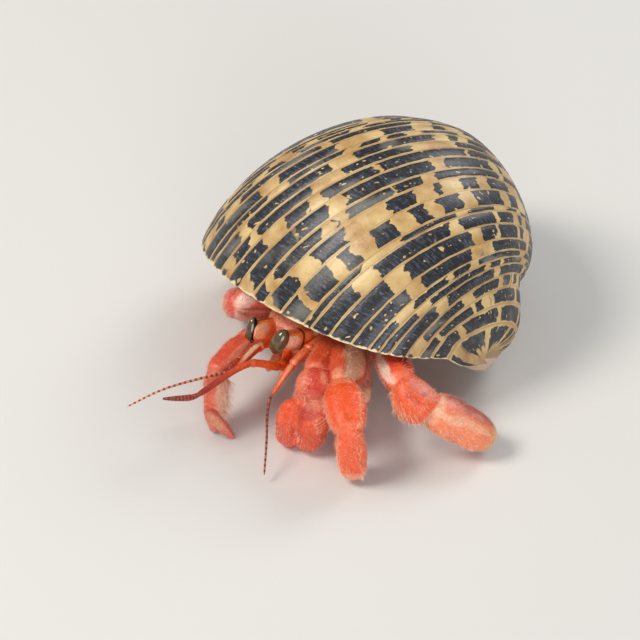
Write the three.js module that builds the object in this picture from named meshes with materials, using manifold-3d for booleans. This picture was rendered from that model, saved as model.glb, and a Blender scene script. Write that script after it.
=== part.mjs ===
// A land hermit crab walking in the shell of a nerite snail, as a still life-size model.
// Millimetres, +Z up, the crab faces -Y and its left side is +X; it stands on the plane z = 0.
import * as THREE from "three";
import { mergeVertices } from "three/addons/utils/BufferGeometryUtils.js";
import Module from "manifold-3d";

const wasm = await Module();
wasm.setup();

const { degToRad, lerp, clamp } = THREE.MathUtils;
const GAP = 0.3; // clearance between two pieces that meet

// ---- The shell: a spiral that widens by `growth` on every turn round its coiling axis ----
const SHELL = {
  scale: 19.05, // distance from the axis to the widest point where the spiral's factor is 1
  growth: 5.224, // how many times larger each whorl is than the one before
  shoulder: degToRad(58.6), // profile angle of the shoulder, beside the spire
  squareness: 0.347, // lower is boxier: the power of the cosine in the profile
  lean: 0.047, // how much fuller the shoulder half of the profile is
  middle: -0.201, // height of the profile's middle along the axis, in scales
  halfHeight: 0.758, // half height of the profile along the axis, in scales
  lipDrop: 0.219, // how far below the axis the lip's plane lies, in scales
  lipTilt: Math.tan(-0.441), // slope of the lip's plane along the axis
  baseFill: 0.8, // how much the base behind the mouth is filled out
  baseStart: 0.87, // profile step where that begins
  cornerTurn: 0.3, // radians by which the lip's end beside the base runs on
  cornerStart: 0.95, // profile step where that begins
  crown: 0.26, // how far the surface between the whorls bulges, against its span
  spire: 0.56, // height of the spire's tip along the axis, in scales
  wall: 1.2, // thickness of the wall
  columella: 5.2, // distance from the axis to the inner edge of the mouth
  apex: new THREE.Vector3(-1.42, 16.7, 6.6), // foot of the coiling axis
  heading: degToRad(-19.7), // the lip points this far to the crab's right
  pitch: degToRad(-23.1), // the lip is raised
  roll: degToRad(14.8), // the spire is raised
};
const DECK = {
  middle: -3.8, // along the coiling axis
  halfLength: 11.9,
  front: 5.4, // from the axis to the straight edge
  back: 5.0,
  floor: -3.5, // below the axis
  slope: -0.19, // the deck drops towards the spire
};
const GROWTH_RATE = Math.log(SHELL.growth) / (2 * Math.PI);
const COLUMNS = 36; // steps round one whorl
const ROWS = 13; // steps from the shoulder to the base
const SPIRE_ROWS = 4; // steps from the shoulder in to the whorl before
const CORNER = 5; // steps by which the lip's corner beside the spire is drawn back
const WHORL = COLUMNS + CORNER;

const shellTurn = new THREE.Matrix4()
  .makeRotationZ(SHELL.heading)
  .multiply(new THREE.Matrix4().makeRotationX(SHELL.pitch))
  .multiply(new THREE.Matrix4().makeRotationY(SHELL.roll))
  .multiply(
    new THREE.Matrix4().makeBasis(
      new THREE.Vector3(0, -1, 0),
      new THREE.Vector3(0, 0, 1),
      new THREE.Vector3(-1, 0, 0),
    ),
  )
  .setPosition(SHELL.apex);

const spiralFactor = (turn) => Math.exp(GROWTH_RATE * turn);

// Profile angle at step s, from the shoulder (0) to the base (1).
const profileAngle = (s) => SHELL.shoulder + (-Math.PI / 2 - SHELL.shoulder) * s;

// Radius and height of the profile at step s, in scales, and the outward normal there.
function profile(s) {
  const t = profileAngle(s);
  const cosine = Math.max(Math.cos(t), 0);
  const swell = 1 + SHELL.lean * Math.sin(t);
  const radius = cosine ** SHELL.squareness * swell;
  const height = SHELL.middle + SHELL.halfHeight * Math.sin(t);
  const across =
    -SHELL.squareness * Math.max(cosine, 0.02) ** (SHELL.squareness - 1) * Math.sin(t) * swell +
    cosine ** SHELL.squareness * SHELL.lean * Math.cos(t);
  const along = SHELL.halfHeight * Math.cos(t);
  const length = Math.hypot(across, along);
  return { radius, height, normal: [along / length, -across / length] };
}

// The spire is lifted above the plain spiral, more so towards its tip.
const LIFT_START = spiralFactor(-Math.PI / 2);
const BASE_FACTOR = spiralFactor(-0.5);
function spireLift(turn, s) {
  const fade = Math.max(0, 1 - s / 0.25) ** 2;
  return SHELL.spire * Math.max(0, 1 - spiralFactor(turn) / LIFT_START) * fade;
}

// The base is filled out behind the mouth, where the callus of the axis spreads over it.
function baseDrop(turn, s) {
  const fade = THREE.MathUtils.smoothstep(s, SHELL.baseStart, 1);
  return SHELL.baseFill * Math.max(0, BASE_FACTOR - spiralFactor(turn)) * fade;
}

// A point of the whorl in the shell's own axes: x to the lip, y up, z along the axis to the spire.
function whorlPoint(s, turn, inset = 0) {
  const { radius, height, normal } = profile(s);
  const k = spiralFactor(turn) * SHELL.scale;
  const r = Math.max(k * radius - inset * normal[0], 0);
  const shift = inset > 0 ? 0 : (spireLift(turn, s) - baseDrop(turn, s)) * SHELL.scale;
  const z = k * height - inset * normal[1] + shift;
  return new THREE.Vector3(r * Math.cos(turn), -r * Math.sin(turn), z);
}

// Where the whorl's line s ends: in the plane of the lip, and a little past it beside the base.
function lipTurn(s) {
  const { radius, height } = profile(s);
  const above = (turn) => {
    const k = spiralFactor(turn);
    const plane = -SHELL.lipDrop + SHELL.lipTilt * (k * height - SHELL.middle);
    return -k * radius * Math.sin(turn) - plane;
  };
  let low = -0.5;
  let high = 1.2;
  if (above(low) < 0) return low;
  const corner = s < 1 ? Math.max(0, (s - SHELL.cornerStart) / (1 - SHELL.cornerStart)) : 0;
  for (let i = 0; i < 30; i++) {
    const middle = (low + high) / 2;
    if (above(middle) > 0) low = middle;
    else high = middle;
  }
  return low + SHELL.cornerTurn * corner ** 3;
}

// A closed solid from points and the triangles that join them, turned right side out.
function meshSolid(points, faces) {
  const flat = new Float32Array(points.length * 3);
  points.forEach((p, i) => p.toArray(flat, i * 3));
  const geometry = new THREE.BufferGeometry();
  geometry.setAttribute("position", new THREE.BufferAttribute(flat, 3));
  geometry.setIndex(faces.flat());
  const merged = mergeVertices(geometry, 1e-4);
  const triVerts = new Uint32Array(merged.index.array);
  const make = () =>
    new wasm.Manifold(
      new wasm.Mesh({
        numProp: 3,
        vertProperties: merged.attributes.position.array,
        triVerts,
      }),
    );
  const solid = make();
  if (solid.volume() >= 0) return solid;
  for (let i = 0; i < triVerts.length; i += 3)
    [triVerts[i + 1], triVerts[i + 2]] = [triVerts[i + 2], triVerts[i + 1]];
  return make();
}

// A closed solid through a row of rings with equal numbers of points, closed by a fan at each end.
function loft(rings, startPole, endPole) {
  const sides = rings[0].length;
  const points = rings.flat().concat([startPole, endPole]);
  const start = points.length - 2;
  const end = points.length - 1;
  const faces = [];
  for (let j = 0; j < sides; j++) {
    const k = (j + 1) % sides;
    const lastRing = (rings.length - 1) * sides;
    faces.push([start, k, j], [end, lastRing + j, lastRing + k]);
    for (let i = 0; i + 1 < rings.length; i++) {
      const a = i * sides;
      const b = a + sides;
      faces.push([a + j, a + k, b + k], [a + j, b + k, b + j]);
    }
  }
  return meshSolid(points, faces);
}

// The whole whorl as one filled solid, grown outwards by `grow`.
function whorlSolid(grow) {
  const points = [];
  const faces = [];
  const known = new Map();
  const add = (key, make) => {
    if (!known.has(key)) {
      const point = make();
      known.set(key, points.push(point) - 1);
    }
    return known.get(key);
  };
  const rowStep = (j) => 1 - (1 - j / ROWS) ** 1.5;
  const side = (j, i) =>
    add(`side ${j} ${i}`, () => {
      const turn = lipTurn(rowStep(j)) - (i * 2 * Math.PI) / COLUMNS;
      return whorlPoint(rowStep(j), turn, -grow);
    });
  // Between the shoulder and the whorl before, the surface goes on as it left the shoulder.
  const spire = (e, i) => {
    if (e === 0) return side(0, i);
    if (e === SPIRE_ROWS) return side(0, i + WHORL);
    return add(`spire ${e} ${i}`, () => {
      const outer = points[side(0, i)];
      const inner = points[side(0, i + WHORL)];
      const span = outer.distanceTo(inner);
      const t = e / SPIRE_ROWS;
      const point = outer.clone().lerp(inner, 1 - (1 - t) ** 1.25);
      point.z += span * SHELL.crown * 4 * t * (1 - t) ** 2;
      return point;
    });
  };
  const quad = (a, b, c, d) => faces.push([a, b, c], [a, c, d]);
  const tip = add("tip", () => new THREE.Vector3(0, 0, SHELL.spire * SHELL.scale + grow));
  for (let i = 0; i < WHORL; i++) {
    for (let j = 0; j < ROWS; j++)
      quad(side(j + 1, i), side(j + 1, i + 1), side(j, i + 1), side(j, i));
    for (let e = 0; e < SPIRE_ROWS; e++)
      quad(spire(e, i), spire(e, i + 1), spire(e + 1, i + 1), spire(e + 1, i));
    faces.push([side(0, WHORL + i), side(0, WHORL + i + 1), tip]);
    faces.push([side(ROWS - 1, 0), side(ROWS, i + 1), side(ROWS, i)]);
  }
  for (let e = 0; e < SPIRE_ROWS; e++) {
    faces.push([tip, spire(e + 1, WHORL), spire(e, WHORL)]);
    if (e > 0) faces.push([spire(0, 0), spire(e, 0), spire(e + 1, 0)]);
  }
  // The mouth's face runs from the lip in to the whorl before.
  for (let j = 0; j < ROWS - 1; j++)
    quad(side(j, 0), side(j, WHORL), side(j + 1, WHORL), side(j + 1, 0));
  faces.push([side(ROWS - 1, 0), side(ROWS - 1, WHORL), side(ROWS, WHORL)]);
  return meshSolid(points, faces);
}

const middleOf = (ring) =>
  ring.reduce((sum, p) => sum.add(p), new THREE.Vector3()).divideScalar(ring.length);

// The room inside the whorl, from `start` before the lip to `depth` behind it, in radians.
function roomSolid(inset, start, depth) {
  const steps = 16;
  const rows = 9;
  const rings = [];
  for (let i = 0; i <= steps; i++) {
    const back = start - ((start + depth) * i) / steps;
    const ring = [];
    for (let j = 0; j <= rows; j++) {
      const s = 0.03 + 0.955 * (1 - (1 - j / rows) ** 1.4);
      ring.push(whorlPoint(s, lipTurn(s) + back, inset));
    }
    for (const edge of [ring[rows], ring[0]]) {
      const turn = -Math.atan2(edge.y, edge.x);
      const r = (SHELL.columella - SHELL.wall + inset) * spiralFactor(back);
      ring.push(new THREE.Vector3(r * Math.cos(turn), -r * Math.sin(turn), edge.z));
    }
    rings.push(ring);
  }
  return loft(rings, middleOf(rings[0]), middleOf(rings[steps]));
}

// The flat callus behind the mouth, whose front edge is the straight inner lip.
function deckSolid(grow) {
  const rings = [];
  const steps = 6;
  for (let i = 0; i <= steps; i++) {
    const t = (2 * i) / steps - 1;
    const z = DECK.middle + (DECK.halfLength + grow) * t;
    const full = Math.sqrt(1 - 0.96 * t * t);
    const floor = DECK.floor + DECK.slope * (z - DECK.middle) - grow;
    const front = DECK.front * full + grow;
    const back = -DECK.back * full - grow;
    rings.push([
      new THREE.Vector3(back, 0.5, z),
      new THREE.Vector3(back, floor * 0.6, z),
      new THREE.Vector3(back * 0.6, floor, z),
      new THREE.Vector3(front, floor, z),
      new THREE.Vector3(front, 0.5, z),
    ]);
  }
  return loft(rings, middleOf(rings[0]), middleOf(rings[steps]));
}
const largestBody = (solid) =>
  solid.decompose().reduce((a, b) => (a.volume() > b.volume() ? a : b));

// The shell with `grow` more thickness all round, for trimming what passes it.
const shellSolid = (grow) =>
  largestBody(
    whorlSolid(grow)
      .add(deckSolid(grow))
      .subtract(roomSolid(SHELL.wall + grow, 0.5, 3.2)),
  ).transform(shellTurn.elements);

// The soft abdomen fills the back of the room, clear of the wall.
const ABDOMEN_INSET = SHELL.wall + 2 * GAP;
const abdomenSolid = (grow) =>
  roomSolid(ABDOMEN_INSET - grow, -0.5, 3.1).transform(shellTurn.elements);

// ---- The crab: lofts of oval rings along straight or bowed axes ----
const STATIONS = [0.035, 0.17, 0.39, 0.61, 0.83, 0.965];
const STOUT_SIDES = 10;
const SLIM_SIDES = 8;
const FEELER_SIDES = 6;
const UP = new THREE.Vector3(0, 0, 1);
const at = (x, y, z) => new THREE.Vector3(x, y, z);

// A value that passes smoothly through the list's values as t goes from 0 to 1.
function along(values, t) {
  const place = clamp(t, 0, 1) * (values.length - 1);
  const i = Math.min(Math.floor(place), values.length - 2);
  return lerp(values[i], values[i + 1], THREE.MathUtils.smootherstep(place - i, 0, 1));
}

// One limb segment: half widths across and half heights over its length, blunt at both ends.
function segment(
  { from, to, wide, tall, twist = 0, bow = at(0, 0, 0), sides = SLIM_SIDES },
  grow = 0,
) {
  const axis = to.clone().sub(from);
  const length = axis.length();
  axis.normalize();
  const across = new THREE.Vector3().crossVectors(UP, axis).normalize().applyAxisAngle(axis, twist);
  const over = new THREE.Vector3().crossVectors(axis, across);
  const start = from.clone().addScaledVector(axis, -grow);
  const reach = length + 2 * grow;
  const centre = (t) =>
    start.clone().addScaledVector(axis, reach * t).addScaledVector(bow, 4 * t * (1 - t));
  const rings = STATIONS.map((t) => {
    const end = (1 - Math.abs(2 * t - 1) ** 7) ** (1 / 2.4);
    const w = along(wide, t) * end + grow;
    const h = along(tall, t) * end + grow;
    return Array.from({ length: sides }, (_, j) => {
      const angle = (2 * Math.PI * (j + 0.5)) / sides;
      return centre(t)
        .addScaledVector(across, w * Math.cos(angle))
        .addScaledVector(over, h * Math.sin(angle));
    });
  });
  return loft(rings, centre(0), centre(1));
}

// A slender feeler: round rings of radius from `thick` to `thin` along a smooth path.
function feeler({ path, thick, thin, steps }, grow = 0) {
  const curve = new THREE.CatmullRomCurve3(path, false, "centripetal");
  const frames = curve.computeFrenetFrames(steps, false);
  const rings = [];
  for (let i = 0; i <= steps; i++) {
    const centre = curve.getPointAt(i / steps);
    const r = lerp(thick, thin, i / steps) + grow;
    rings.push(
      Array.from({ length: FEELER_SIDES }, (_, j) => {
        const angle = (2 * Math.PI * j) / FEELER_SIDES;
        return centre
          .clone()
          .addScaledVector(frames.normals[i], r * Math.cos(angle))
          .addScaledVector(frames.binormals[i], r * Math.sin(angle));
      }),
    );
  }
  const poke = (i, sign) =>
    curve.getPointAt(i).addScaledVector(curve.getTangentAt(i), sign * (thin / 2 + grow));
  return loft(rings, poke(0, -1), poke(1, 1));
}

// An ellipsoid whose axes are turned by a rotation.
function ellipsoid({ centre, radii, turn }, grow = 0) {
  const geometry = new THREE.SphereGeometry(1, 12, 7);
  geometry.deleteAttribute("normal");
  geometry.deleteAttribute("uv");
  geometry.scale(radii[0] + grow, radii[1] + grow, radii[2] + grow);
  geometry.applyMatrix4(new THREE.Matrix4().makeRotationFromEuler(turn).setPosition(centre));
  const merged = mergeVertices(geometry, 1e-4);
  const points = [];
  for (let i = 0; i < merged.attributes.position.count; i++)
    points.push(new THREE.Vector3().fromBufferAttribute(merged.attributes.position, i));
  const list = merged.index.array;
  const faces = [];
  for (let i = 0; i < list.length; i += 3) {
    const face = [list[i], list[i + 1], list[i + 2]];
    if (new Set(face).size === 3) faces.push(face);
  }
  return meshSolid(points, faces);
}

// ---- Finishes ----
const finish = (color, roughness) =>
  new THREE.MeshStandardMaterial({ color, roughness, metalness: 0 });
const FINISH = {
  shell: finish("#4a4744", 0.45),
  redCuticle: finish("#e2512f", 0.5),
  paleCuticle: finish("#e8a184", 0.5),
  softSkin: finish("#c9866c", 0.6),
  cornea: finish("#4b4536", 0.12),
  claw: finish("#3a211b", 0.35),
};

// ---- Where each piece is: pieces named first keep their shape, later ones give way to them ----
const pieces = new Map();
const piece = (name, material, make) => pieces.set(name, { material, make });

piece("shell", FINISH.shell, shellSolid);
piece("abdomen", FINISH.softSkin, abdomenSolid);

// The head. The eyestalks are parallel and point forward, a little up and to the crab's right.
const STALK = {
  direction: at(-0.161, -0.913, 0.375).normalize(),
  length: 3.6,
  intoEye: 0.2,
  wide: [1.1, 0.95, 0.8],
  tall: [1.35, 1.15, 1.1],
};
const EYES = {
  left: { centre: at(-1.08, -4.68, 7.75), radii: [0.8, 0.82, 1.45], turn: new THREE.Euler(-0.35, 0.3, 0) },
  right: { centre: at(-4.53, -4.76, 7.25), radii: [0.6, 0.64, 1.45], turn: new THREE.Euler(-0.35, -0.05, 0) },
};
for (const [hand, { centre, radii, turn }] of Object.entries(EYES)) {
  const stalk = {
    from: centre.clone().addScaledVector(STALK.direction, -STALK.length),
    to: centre.clone().addScaledVector(STALK.direction, STALK.intoEye),
    wide: STALK.wide,
    tall: STALK.tall,
  };
  piece(`eye_${hand}`, FINISH.cornea, (grow) =>
    ellipsoid({ centre, radii, turn }, grow),
  );
  piece(`eyestalk_${hand}`, FINISH.redCuticle, (grow) => segment(stalk, grow));
}

// The limbs, from the body outwards: joints, and half widths and heights along each segment.
const DACTYLUS = { wide: [0.8, 0.6, 0.25], tall: [0.8, 0.6, 0.25] };
const LIMBS = {
  cheliped_left: {
    joints: [at(1.4, 1.4, 5.2), at(4.2, -5.7, 7.0), at(5.4, -7.3, 6.0), at(4.9, -7.6, 0.0)],
    segments: {
      merus: { wide: [1.3, 1.5, 1.5], tall: [1.5, 1.8, 1.7] },
      carpus: { wide: [1.5, 1.9, 2.2], tall: [1.5, 1.8, 1.9] },
      palm: { wide: [2.1, 2.5, 2.1, 1.0], tall: [1.9, 2.1, 1.7, 0.9] },
    },
  },
  cheliped_right: {
    joints: [at(-5.4, 0.2, 4.4), at(-5.0, -5.0, 5.9), at(-4.4, -10.0, 5.6), at(-3.2, -11.9, 0.8)],
    segments: {
      merus: { wide: [1.0, 1.2, 1.2], tall: [1.1, 1.2, 1.1] },
      carpus: { wide: [1.0, 1.25, 1.2], tall: [1.0, 1.3, 1.3] },
      palm: { wide: [1.1, 1.3, 1.1, 0.6], tall: [1.2, 1.4, 1.2, 0.6] },
    },
  },
  leg2_left: {
    joints: [
      at(2.6, 2.0, 5.2),
      at(7.2, -5.4, 7.4),
      at(11.0, -8.9, 6.5),
      at(11.2, -8.5, 1.2),
      at(8.6, -5.6, 0.0),
    ],
    segments: {
      merus: { wide: [1.1, 1.5, 1.2], tall: [1.6, 2.2, 1.45], twist: 0.7 },
      carpus: { wide: [1.3, 2.0, 1.65], tall: [1.2, 1.7, 1.45] },
      propodus: { wide: [1.25, 1.5, 1.45], tall: [1.25, 1.5, 1.3] },
      dactylus: DACTYLUS,
    },
  },
  leg2_right: {
    joints: [
      at(-5.6, 2.2, 5.4),
      at(-8.0, -2.7, 7.4),
      at(-10.0, -0.2, 5.0),
      at(-11.8, 2.0, 1.9),
      at(-13.2, 3.9, 0.0),
    ],
    segments: {
      merus: { wide: [1.0, 1.25, 1.3], tall: [1.4, 1.9, 1.7] },
      carpus: { wide: [1.3, 1.6, 1.4], tall: [1.4, 1.6, 1.4] },
      propodus: { wide: [1.3, 1.3, 1.1], tall: [1.2, 1.3, 1.1] },
      dactylus: DACTYLUS,
    },
  },
  leg3_left: {
    joints: [
      at(3.2, 4.8, 5.4),
      at(11.2, -1.3, 7.0),
      at(14.0, -0.7, 5.3),
      at(18.6, 2.5, 1.9),
      at(16.4, 5.5, 0.0),
    ],
    segments: {
      merus: { wide: [1.2, 1.6, 1.6], tall: [1.4, 1.8, 1.7] },
      carpus: { wide: [1.6, 2.05, 1.8], tall: [1.6, 2.1, 1.8], bow: at(0.1, -0.4, -0.4) },
      propodus: { wide: [1.6, 2.05, 2.0, 1.5], tall: [1.6, 2.0, 1.9, 1.4] },
      dactylus: DACTYLUS,
    },
  },
  leg3_right: {
    joints: [
      at(-6.2, 4.8, 5.2),
      at(-11.2, 3.6, 5.6),
      at(-13.6, 5.2, 4.2),
      at(-15.8, 8.4, 1.6),
      at(-16.6, 11.6, 0.0),
    ],
    segments: {
      merus: { wide: [1.1, 1.4, 1.4], tall: [1.2, 1.4, 1.3] },
      carpus: { wide: [1.2, 1.5, 1.4], tall: [1.2, 1.4, 1.3] },
      propodus: { wide: [1.3, 1.4, 1.1], tall: [1.2, 1.3, 1.0] },
      dactylus: DACTYLUS,
    },
  },
};
for (const [limb, { joints, segments }] of Object.entries(LIMBS)) {
  const names = Object.keys(segments);
  for (let i = names.length - 1; i >= 0; i--) {
    const claw = names[i] === "dactylus";
    const material = claw ? FINISH.claw : FINISH.redCuticle;
    const sides = claw ? SLIM_SIDES : STOUT_SIDES;
    const shape = { ...segments[names[i]], from: joints[i], to: joints[i + 1], sides };
    piece(`${limb}_${names[i]}`, material, (grow) => segment(shape, grow));
  }
}
const FINGERS = {
  left: {
    from: at(3.9, -8.6, 5.1),
    to: at(3.4, -8.5, 0.0),
    wide: [1.0, 1.5, 1.4, 0.7],
    tall: [1.1, 1.4, 1.35, 0.7],
  },
  right: {
    from: at(-3.0, -12.4, 2.6),
    to: at(-1.5, -11.5, 0.4),
    wide: [0.7, 0.7, 0.4],
    tall: [0.7, 0.7, 0.4],
  },
};
for (const [hand, shape] of Object.entries(FINGERS))
  piece(`cheliped_${hand}_finger`, FINISH.redCuticle, (grow) => segment(shape, grow));

// The feelers, with radius from `thick` at the head to `thin` at the tip.
const FEELERS = {
  antenna_left: {
    path: [at(0.9, 0.6, 6.4), at(1.1, -2.4, 6.8), at(1.3, -5.5, 6.8), at(1.8, -9.2, 5.65)],
    thick: 0.7,
    thin: 0.32,
    steps: 5,
  },
  antenna_right: {
    path: [at(-3.9, -1.6, 4.6), at(-3.9, -4.4, 5.5), at(-2.8, -9.2, 6.2)],
    thick: 0.6,
    thin: 0.34,
    steps: 5,
  },
  antenna_flagellum_left: {
    path: [at(1.86, -9.65, 5.45), at(2.28, -10.4, 4.6), at(3.68, -12.2, 3.0), at(5.16, -14.3, 0.9)],
    thick: 0.28,
    thin: 0.26,
    steps: 7,
  },
  antenna_flagellum_right: {
    path: [at(-2.9, -9.75, 6.2), at(-3.8, -11.8, 6.6), at(-6.3, -15.45, 6.0), at(-8.7, -18.05, 4.2)],
    thick: 0.28,
    thin: 0.26,
    steps: 7,
  },
  antennule_left: {
    path: [at(-1.7, -2.6, 4.9), at(-0.6, -5.0, 5.2), at(-1.75, -8.35, 7.0), at(-2.9, -14.5, 6.5)],
    thick: 0.5,
    thin: 0.3,
    steps: 7,
  },
  antennule_flagellum_left: {
    path: [at(-3.1, -15.0, 6.5), at(-4.0, -16.3, 6.7), at(-4.84, -17.2, 6.8)],
    thick: 0.32,
    thin: 0.26,
    steps: 4,
  },
};
const RIGHT_ANTENNULE = at(-0.75, 0.9, -0.99); // from the left one: beside it and below
for (const name of ["antennule", "antennule_flagellum"]) {
  const { path, ...rest } = FEELERS[`${name}_left`];
  const moved = path.map((p) => p.clone().add(RIGHT_ANTENNULE));
  FEELERS[`${name}_right`] = { path: moved, ...rest };
}
for (const [name, shape] of Object.entries(FEELERS))
  piece(name, FINISH.redCuticle, (grow) => feeler(shape, grow));

// The trunk, its mouthparts and the short fourth legs, which stay mostly in the shell.
const TRUNK = {
  carapace_shield: {
    material: FINISH.redCuticle,
    from: at(-2.3, -2.0, 6.5),
    to: at(-2.8, 5.6, 8.0),
    wide: [2.9, 3.3, 3.4],
    tall: [1.2, 1.3, 1.3],
  },
  thorax: {
    material: FINISH.paleCuticle,
    from: at(-2.3, -1.6, 4.0),
    to: at(-2.8, 8.6, 5.6),
    wide: [2.4, 3.6, 3.4],
    tall: [1.5, 2.0, 2.2],
  },
  maxilliped_left: {
    material: FINISH.redCuticle,
    from: at(-1.6, -1.2, 3.6),
    to: at(-1.7, -3.5, 2.7),
    wide: [0.5, 0.6, 0.4],
    tall: [0.7, 0.8, 0.4],
  },
  maxilliped_right: {
    material: FINISH.redCuticle,
    from: at(-3.2, -1.2, 3.6),
    to: at(-3.1, -3.5, 2.7),
    wide: [0.5, 0.6, 0.4],
    tall: [0.7, 0.8, 0.4],
  },
  leg4_left: {
    material: FINISH.paleCuticle,
    from: at(1.6, 5.0, 3.6),
    to: at(6.1, -1.1, 2.3),
    wide: [0.9, 1.0, 1.1],
    tall: [0.9, 1.0, 1.1],
  },
  leg4_right: {
    material: FINISH.paleCuticle,
    from: at(-6.2, 6.2, 4.2),
    to: at(-9.2, 7.6, 2.4),
    wide: [0.9, 1.0, 1.0],
    tall: [0.9, 1.0, 1.0],
  },
};
for (const [name, { material, ...shape }] of Object.entries(TRUNK))
  piece(name, material, (grow) => segment(shape, grow));

// ---- Trim each piece clear of the floor and of the pieces named before it ----
const boxesMeet = (a, b) => [0, 1, 2].every((i) => a.min[i] < b.max[i] && b.min[i] < a.max[i]);
const FLOOR = { half: 80, deep: 5 };
const floorRing = (z) => [
  at(-FLOOR.half, -FLOOR.half, z),
  at(FLOOR.half, -FLOOR.half, z),
  at(FLOOR.half, FLOOR.half, z),
  at(-FLOOR.half, FLOOR.half, z),
];
const floor = loft(
  [floorRing(-FLOOR.deep), floorRing(0)],
  at(0, 0, -FLOOR.deep),
  at(0, 0, 0),
);

function meshOf(solid, name, material) {
  const { numProp, numVert, vertProperties, triVerts } = solid.getMesh();
  const flat = new Float32Array(numVert * 3);
  for (let i = 0; i < numVert; i++)
    flat.set(vertProperties.subarray(i * numProp, i * numProp + 3), i * 3);
  const geometry = new THREE.BufferGeometry();
  geometry.setAttribute("position", new THREE.BufferAttribute(flat, 3));
  geometry.setIndex(new THREE.BufferAttribute(triVerts, 1));
  const mesh = new THREE.Mesh(geometry, material);
  mesh.name = name;
  return mesh;
}

const model = new THREE.Group();
const cutters = [];
for (const [name, { material, make }] of pieces) {
  let solid = make(0);
  for (const cutter of cutters)
    if (boxesMeet(solid.boundingBox(), cutter.boundingBox())) solid = solid.subtract(cutter);
  solid = largestBody(solid.subtract(floor));
  cutters.push(make(GAP));
  model.add(meshOf(solid, name, material));
}

// The part's origin is under the middle of its box, on the floor.
const box = new THREE.Box3().setFromObject(model);
const middle = box.getCenter(new THREE.Vector3());
model.position.set(-middle.x, -middle.y, -box.min.z);

export default model;
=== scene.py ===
"""Looks of a walking land hermit crab in a nerite shell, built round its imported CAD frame.

Lengths are in millimetres in the crab's own frame (it faces -Y, its left is +X, +Z is up). A
piece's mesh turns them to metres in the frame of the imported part.
"""

import logging
import math
from collections.abc import Sequence
from dataclasses import dataclass, field
from enum import Enum

import bmesh
import bpy
import numpy as np
from bpy.types import ID, Material, Mesh, Node, NodeSocket, NodeTree, Object, bpy_prop_collection
from mathutils import Matrix, Vector, kdtree, noise

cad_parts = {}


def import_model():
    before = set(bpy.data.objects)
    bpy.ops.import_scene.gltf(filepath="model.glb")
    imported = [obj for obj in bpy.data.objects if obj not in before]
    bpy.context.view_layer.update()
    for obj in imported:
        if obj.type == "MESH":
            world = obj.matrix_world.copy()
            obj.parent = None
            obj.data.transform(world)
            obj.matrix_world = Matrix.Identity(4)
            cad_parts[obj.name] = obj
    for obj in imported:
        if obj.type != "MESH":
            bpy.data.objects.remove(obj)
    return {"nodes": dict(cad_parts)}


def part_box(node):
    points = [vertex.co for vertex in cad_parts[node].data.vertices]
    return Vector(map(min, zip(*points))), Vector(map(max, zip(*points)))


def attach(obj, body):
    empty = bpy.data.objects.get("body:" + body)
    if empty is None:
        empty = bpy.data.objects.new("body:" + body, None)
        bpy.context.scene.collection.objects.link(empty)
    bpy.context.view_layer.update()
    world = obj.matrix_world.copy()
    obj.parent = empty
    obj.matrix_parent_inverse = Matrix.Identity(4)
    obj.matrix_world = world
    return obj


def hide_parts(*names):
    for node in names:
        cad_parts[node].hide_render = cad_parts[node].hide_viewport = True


LOG = logging.getLogger("hermit_crab")
MM = 0.001
BODY = "root"
LEFT_EYE = (-1.08, -4.68, 7.75)  # middle of the left cornea in the crab's own frame

Array = np.ndarray
Point = tuple[float, float, float]

# An attribute's kind and the name of its value, by the shape of one element.
ATTRIBUTE_KINDS = {(): ("FLOAT", "value"), (3,): ("FLOAT_VECTOR", "vector"), (4,): ("FLOAT_COLOR", "color")}


class Slot(Enum):
    """The record's material slots."""

    SHELL = "shell"
    RED = "red_cuticle"
    PALE = "pale_cuticle"
    SOFT = "soft_skin"
    CORNEA = "cornea"
    CLAW = "claw"


# ---- Materials ------------------------------------------------------------------------------


def linear(hex_color: str) -> tuple[float, float, float, float]:
    """Turn an sRGB hex colour to linear light.

    Args:
        hex_color: The colour as "#rrggbb".

    Returns:
        Linear red, green and blue, and 1 for opaque.
    """
    channels = [int(hex_color[i : i + 2], 16) / 255 for i in (1, 3, 5)]
    red, green, blue = [c / 12.92 if c <= 0.04045 else ((c + 0.055) / 1.055) ** 2.4 for c in channels]
    return red, green, blue, 1.0


@dataclass
class Graph:
    """A node tree that is being built."""

    tree: NodeTree

    def feed(self, node: Node, values: dict[int | str, object]) -> None:
        """Set or link a node's inputs.

        Args:
            node: The node.
            values: Values or feeding sockets, by input name or number.
        """
        for key, value in values.items():
            if isinstance(value, NodeSocket):
                self.tree.links.new(value, node.inputs[key])
            else:
                node.inputs[key].default_value = value

    def add(
        self,
        kind: str,
        inputs: Sequence | dict = (),
        out: int | str = 0,
        stops: Sequence[tuple[float, str]] = (),
        **settings: object,
    ) -> NodeSocket:
        """Add a node with its settings and links.

        Args:
            kind: The node's type name, which for a shading node leaves out ShaderNode.
            inputs: Values or feeding sockets, in order or by input name or number.
            out: The output that is wanted.
            stops: A colour ramp's places, each with its hex colour.
            **settings: Attributes of the node.

        Returns:
            The output's socket.
        """
        node = self.tree.nodes.new(kind if "Node" in kind else f"ShaderNode{kind}")
        for name, value in settings.items():
            setattr(node, name, value)
        self.feed(node, inputs if isinstance(inputs, dict) else dict(enumerate(inputs)))
        if stops:
            elements = node.color_ramp.elements
            while len(elements) < len(stops):
                elements.new(1.0)
            for element, (place, color) in zip(elements, stops, strict=True):
                element.position = place
                element.color = linear(color)
        return node.outputs[out]


def start_material(name: str) -> tuple[Material, Graph, Node]:
    """Start a material.

    Args:
        name: The finish's name.

    Returns:
        The material, its graph and its shader.
    """
    material = bpy.data.materials.new(name)
    material.use_nodes = True
    return material, Graph(material.node_tree), material.node_tree.nodes["Principled BSDF"]


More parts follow.
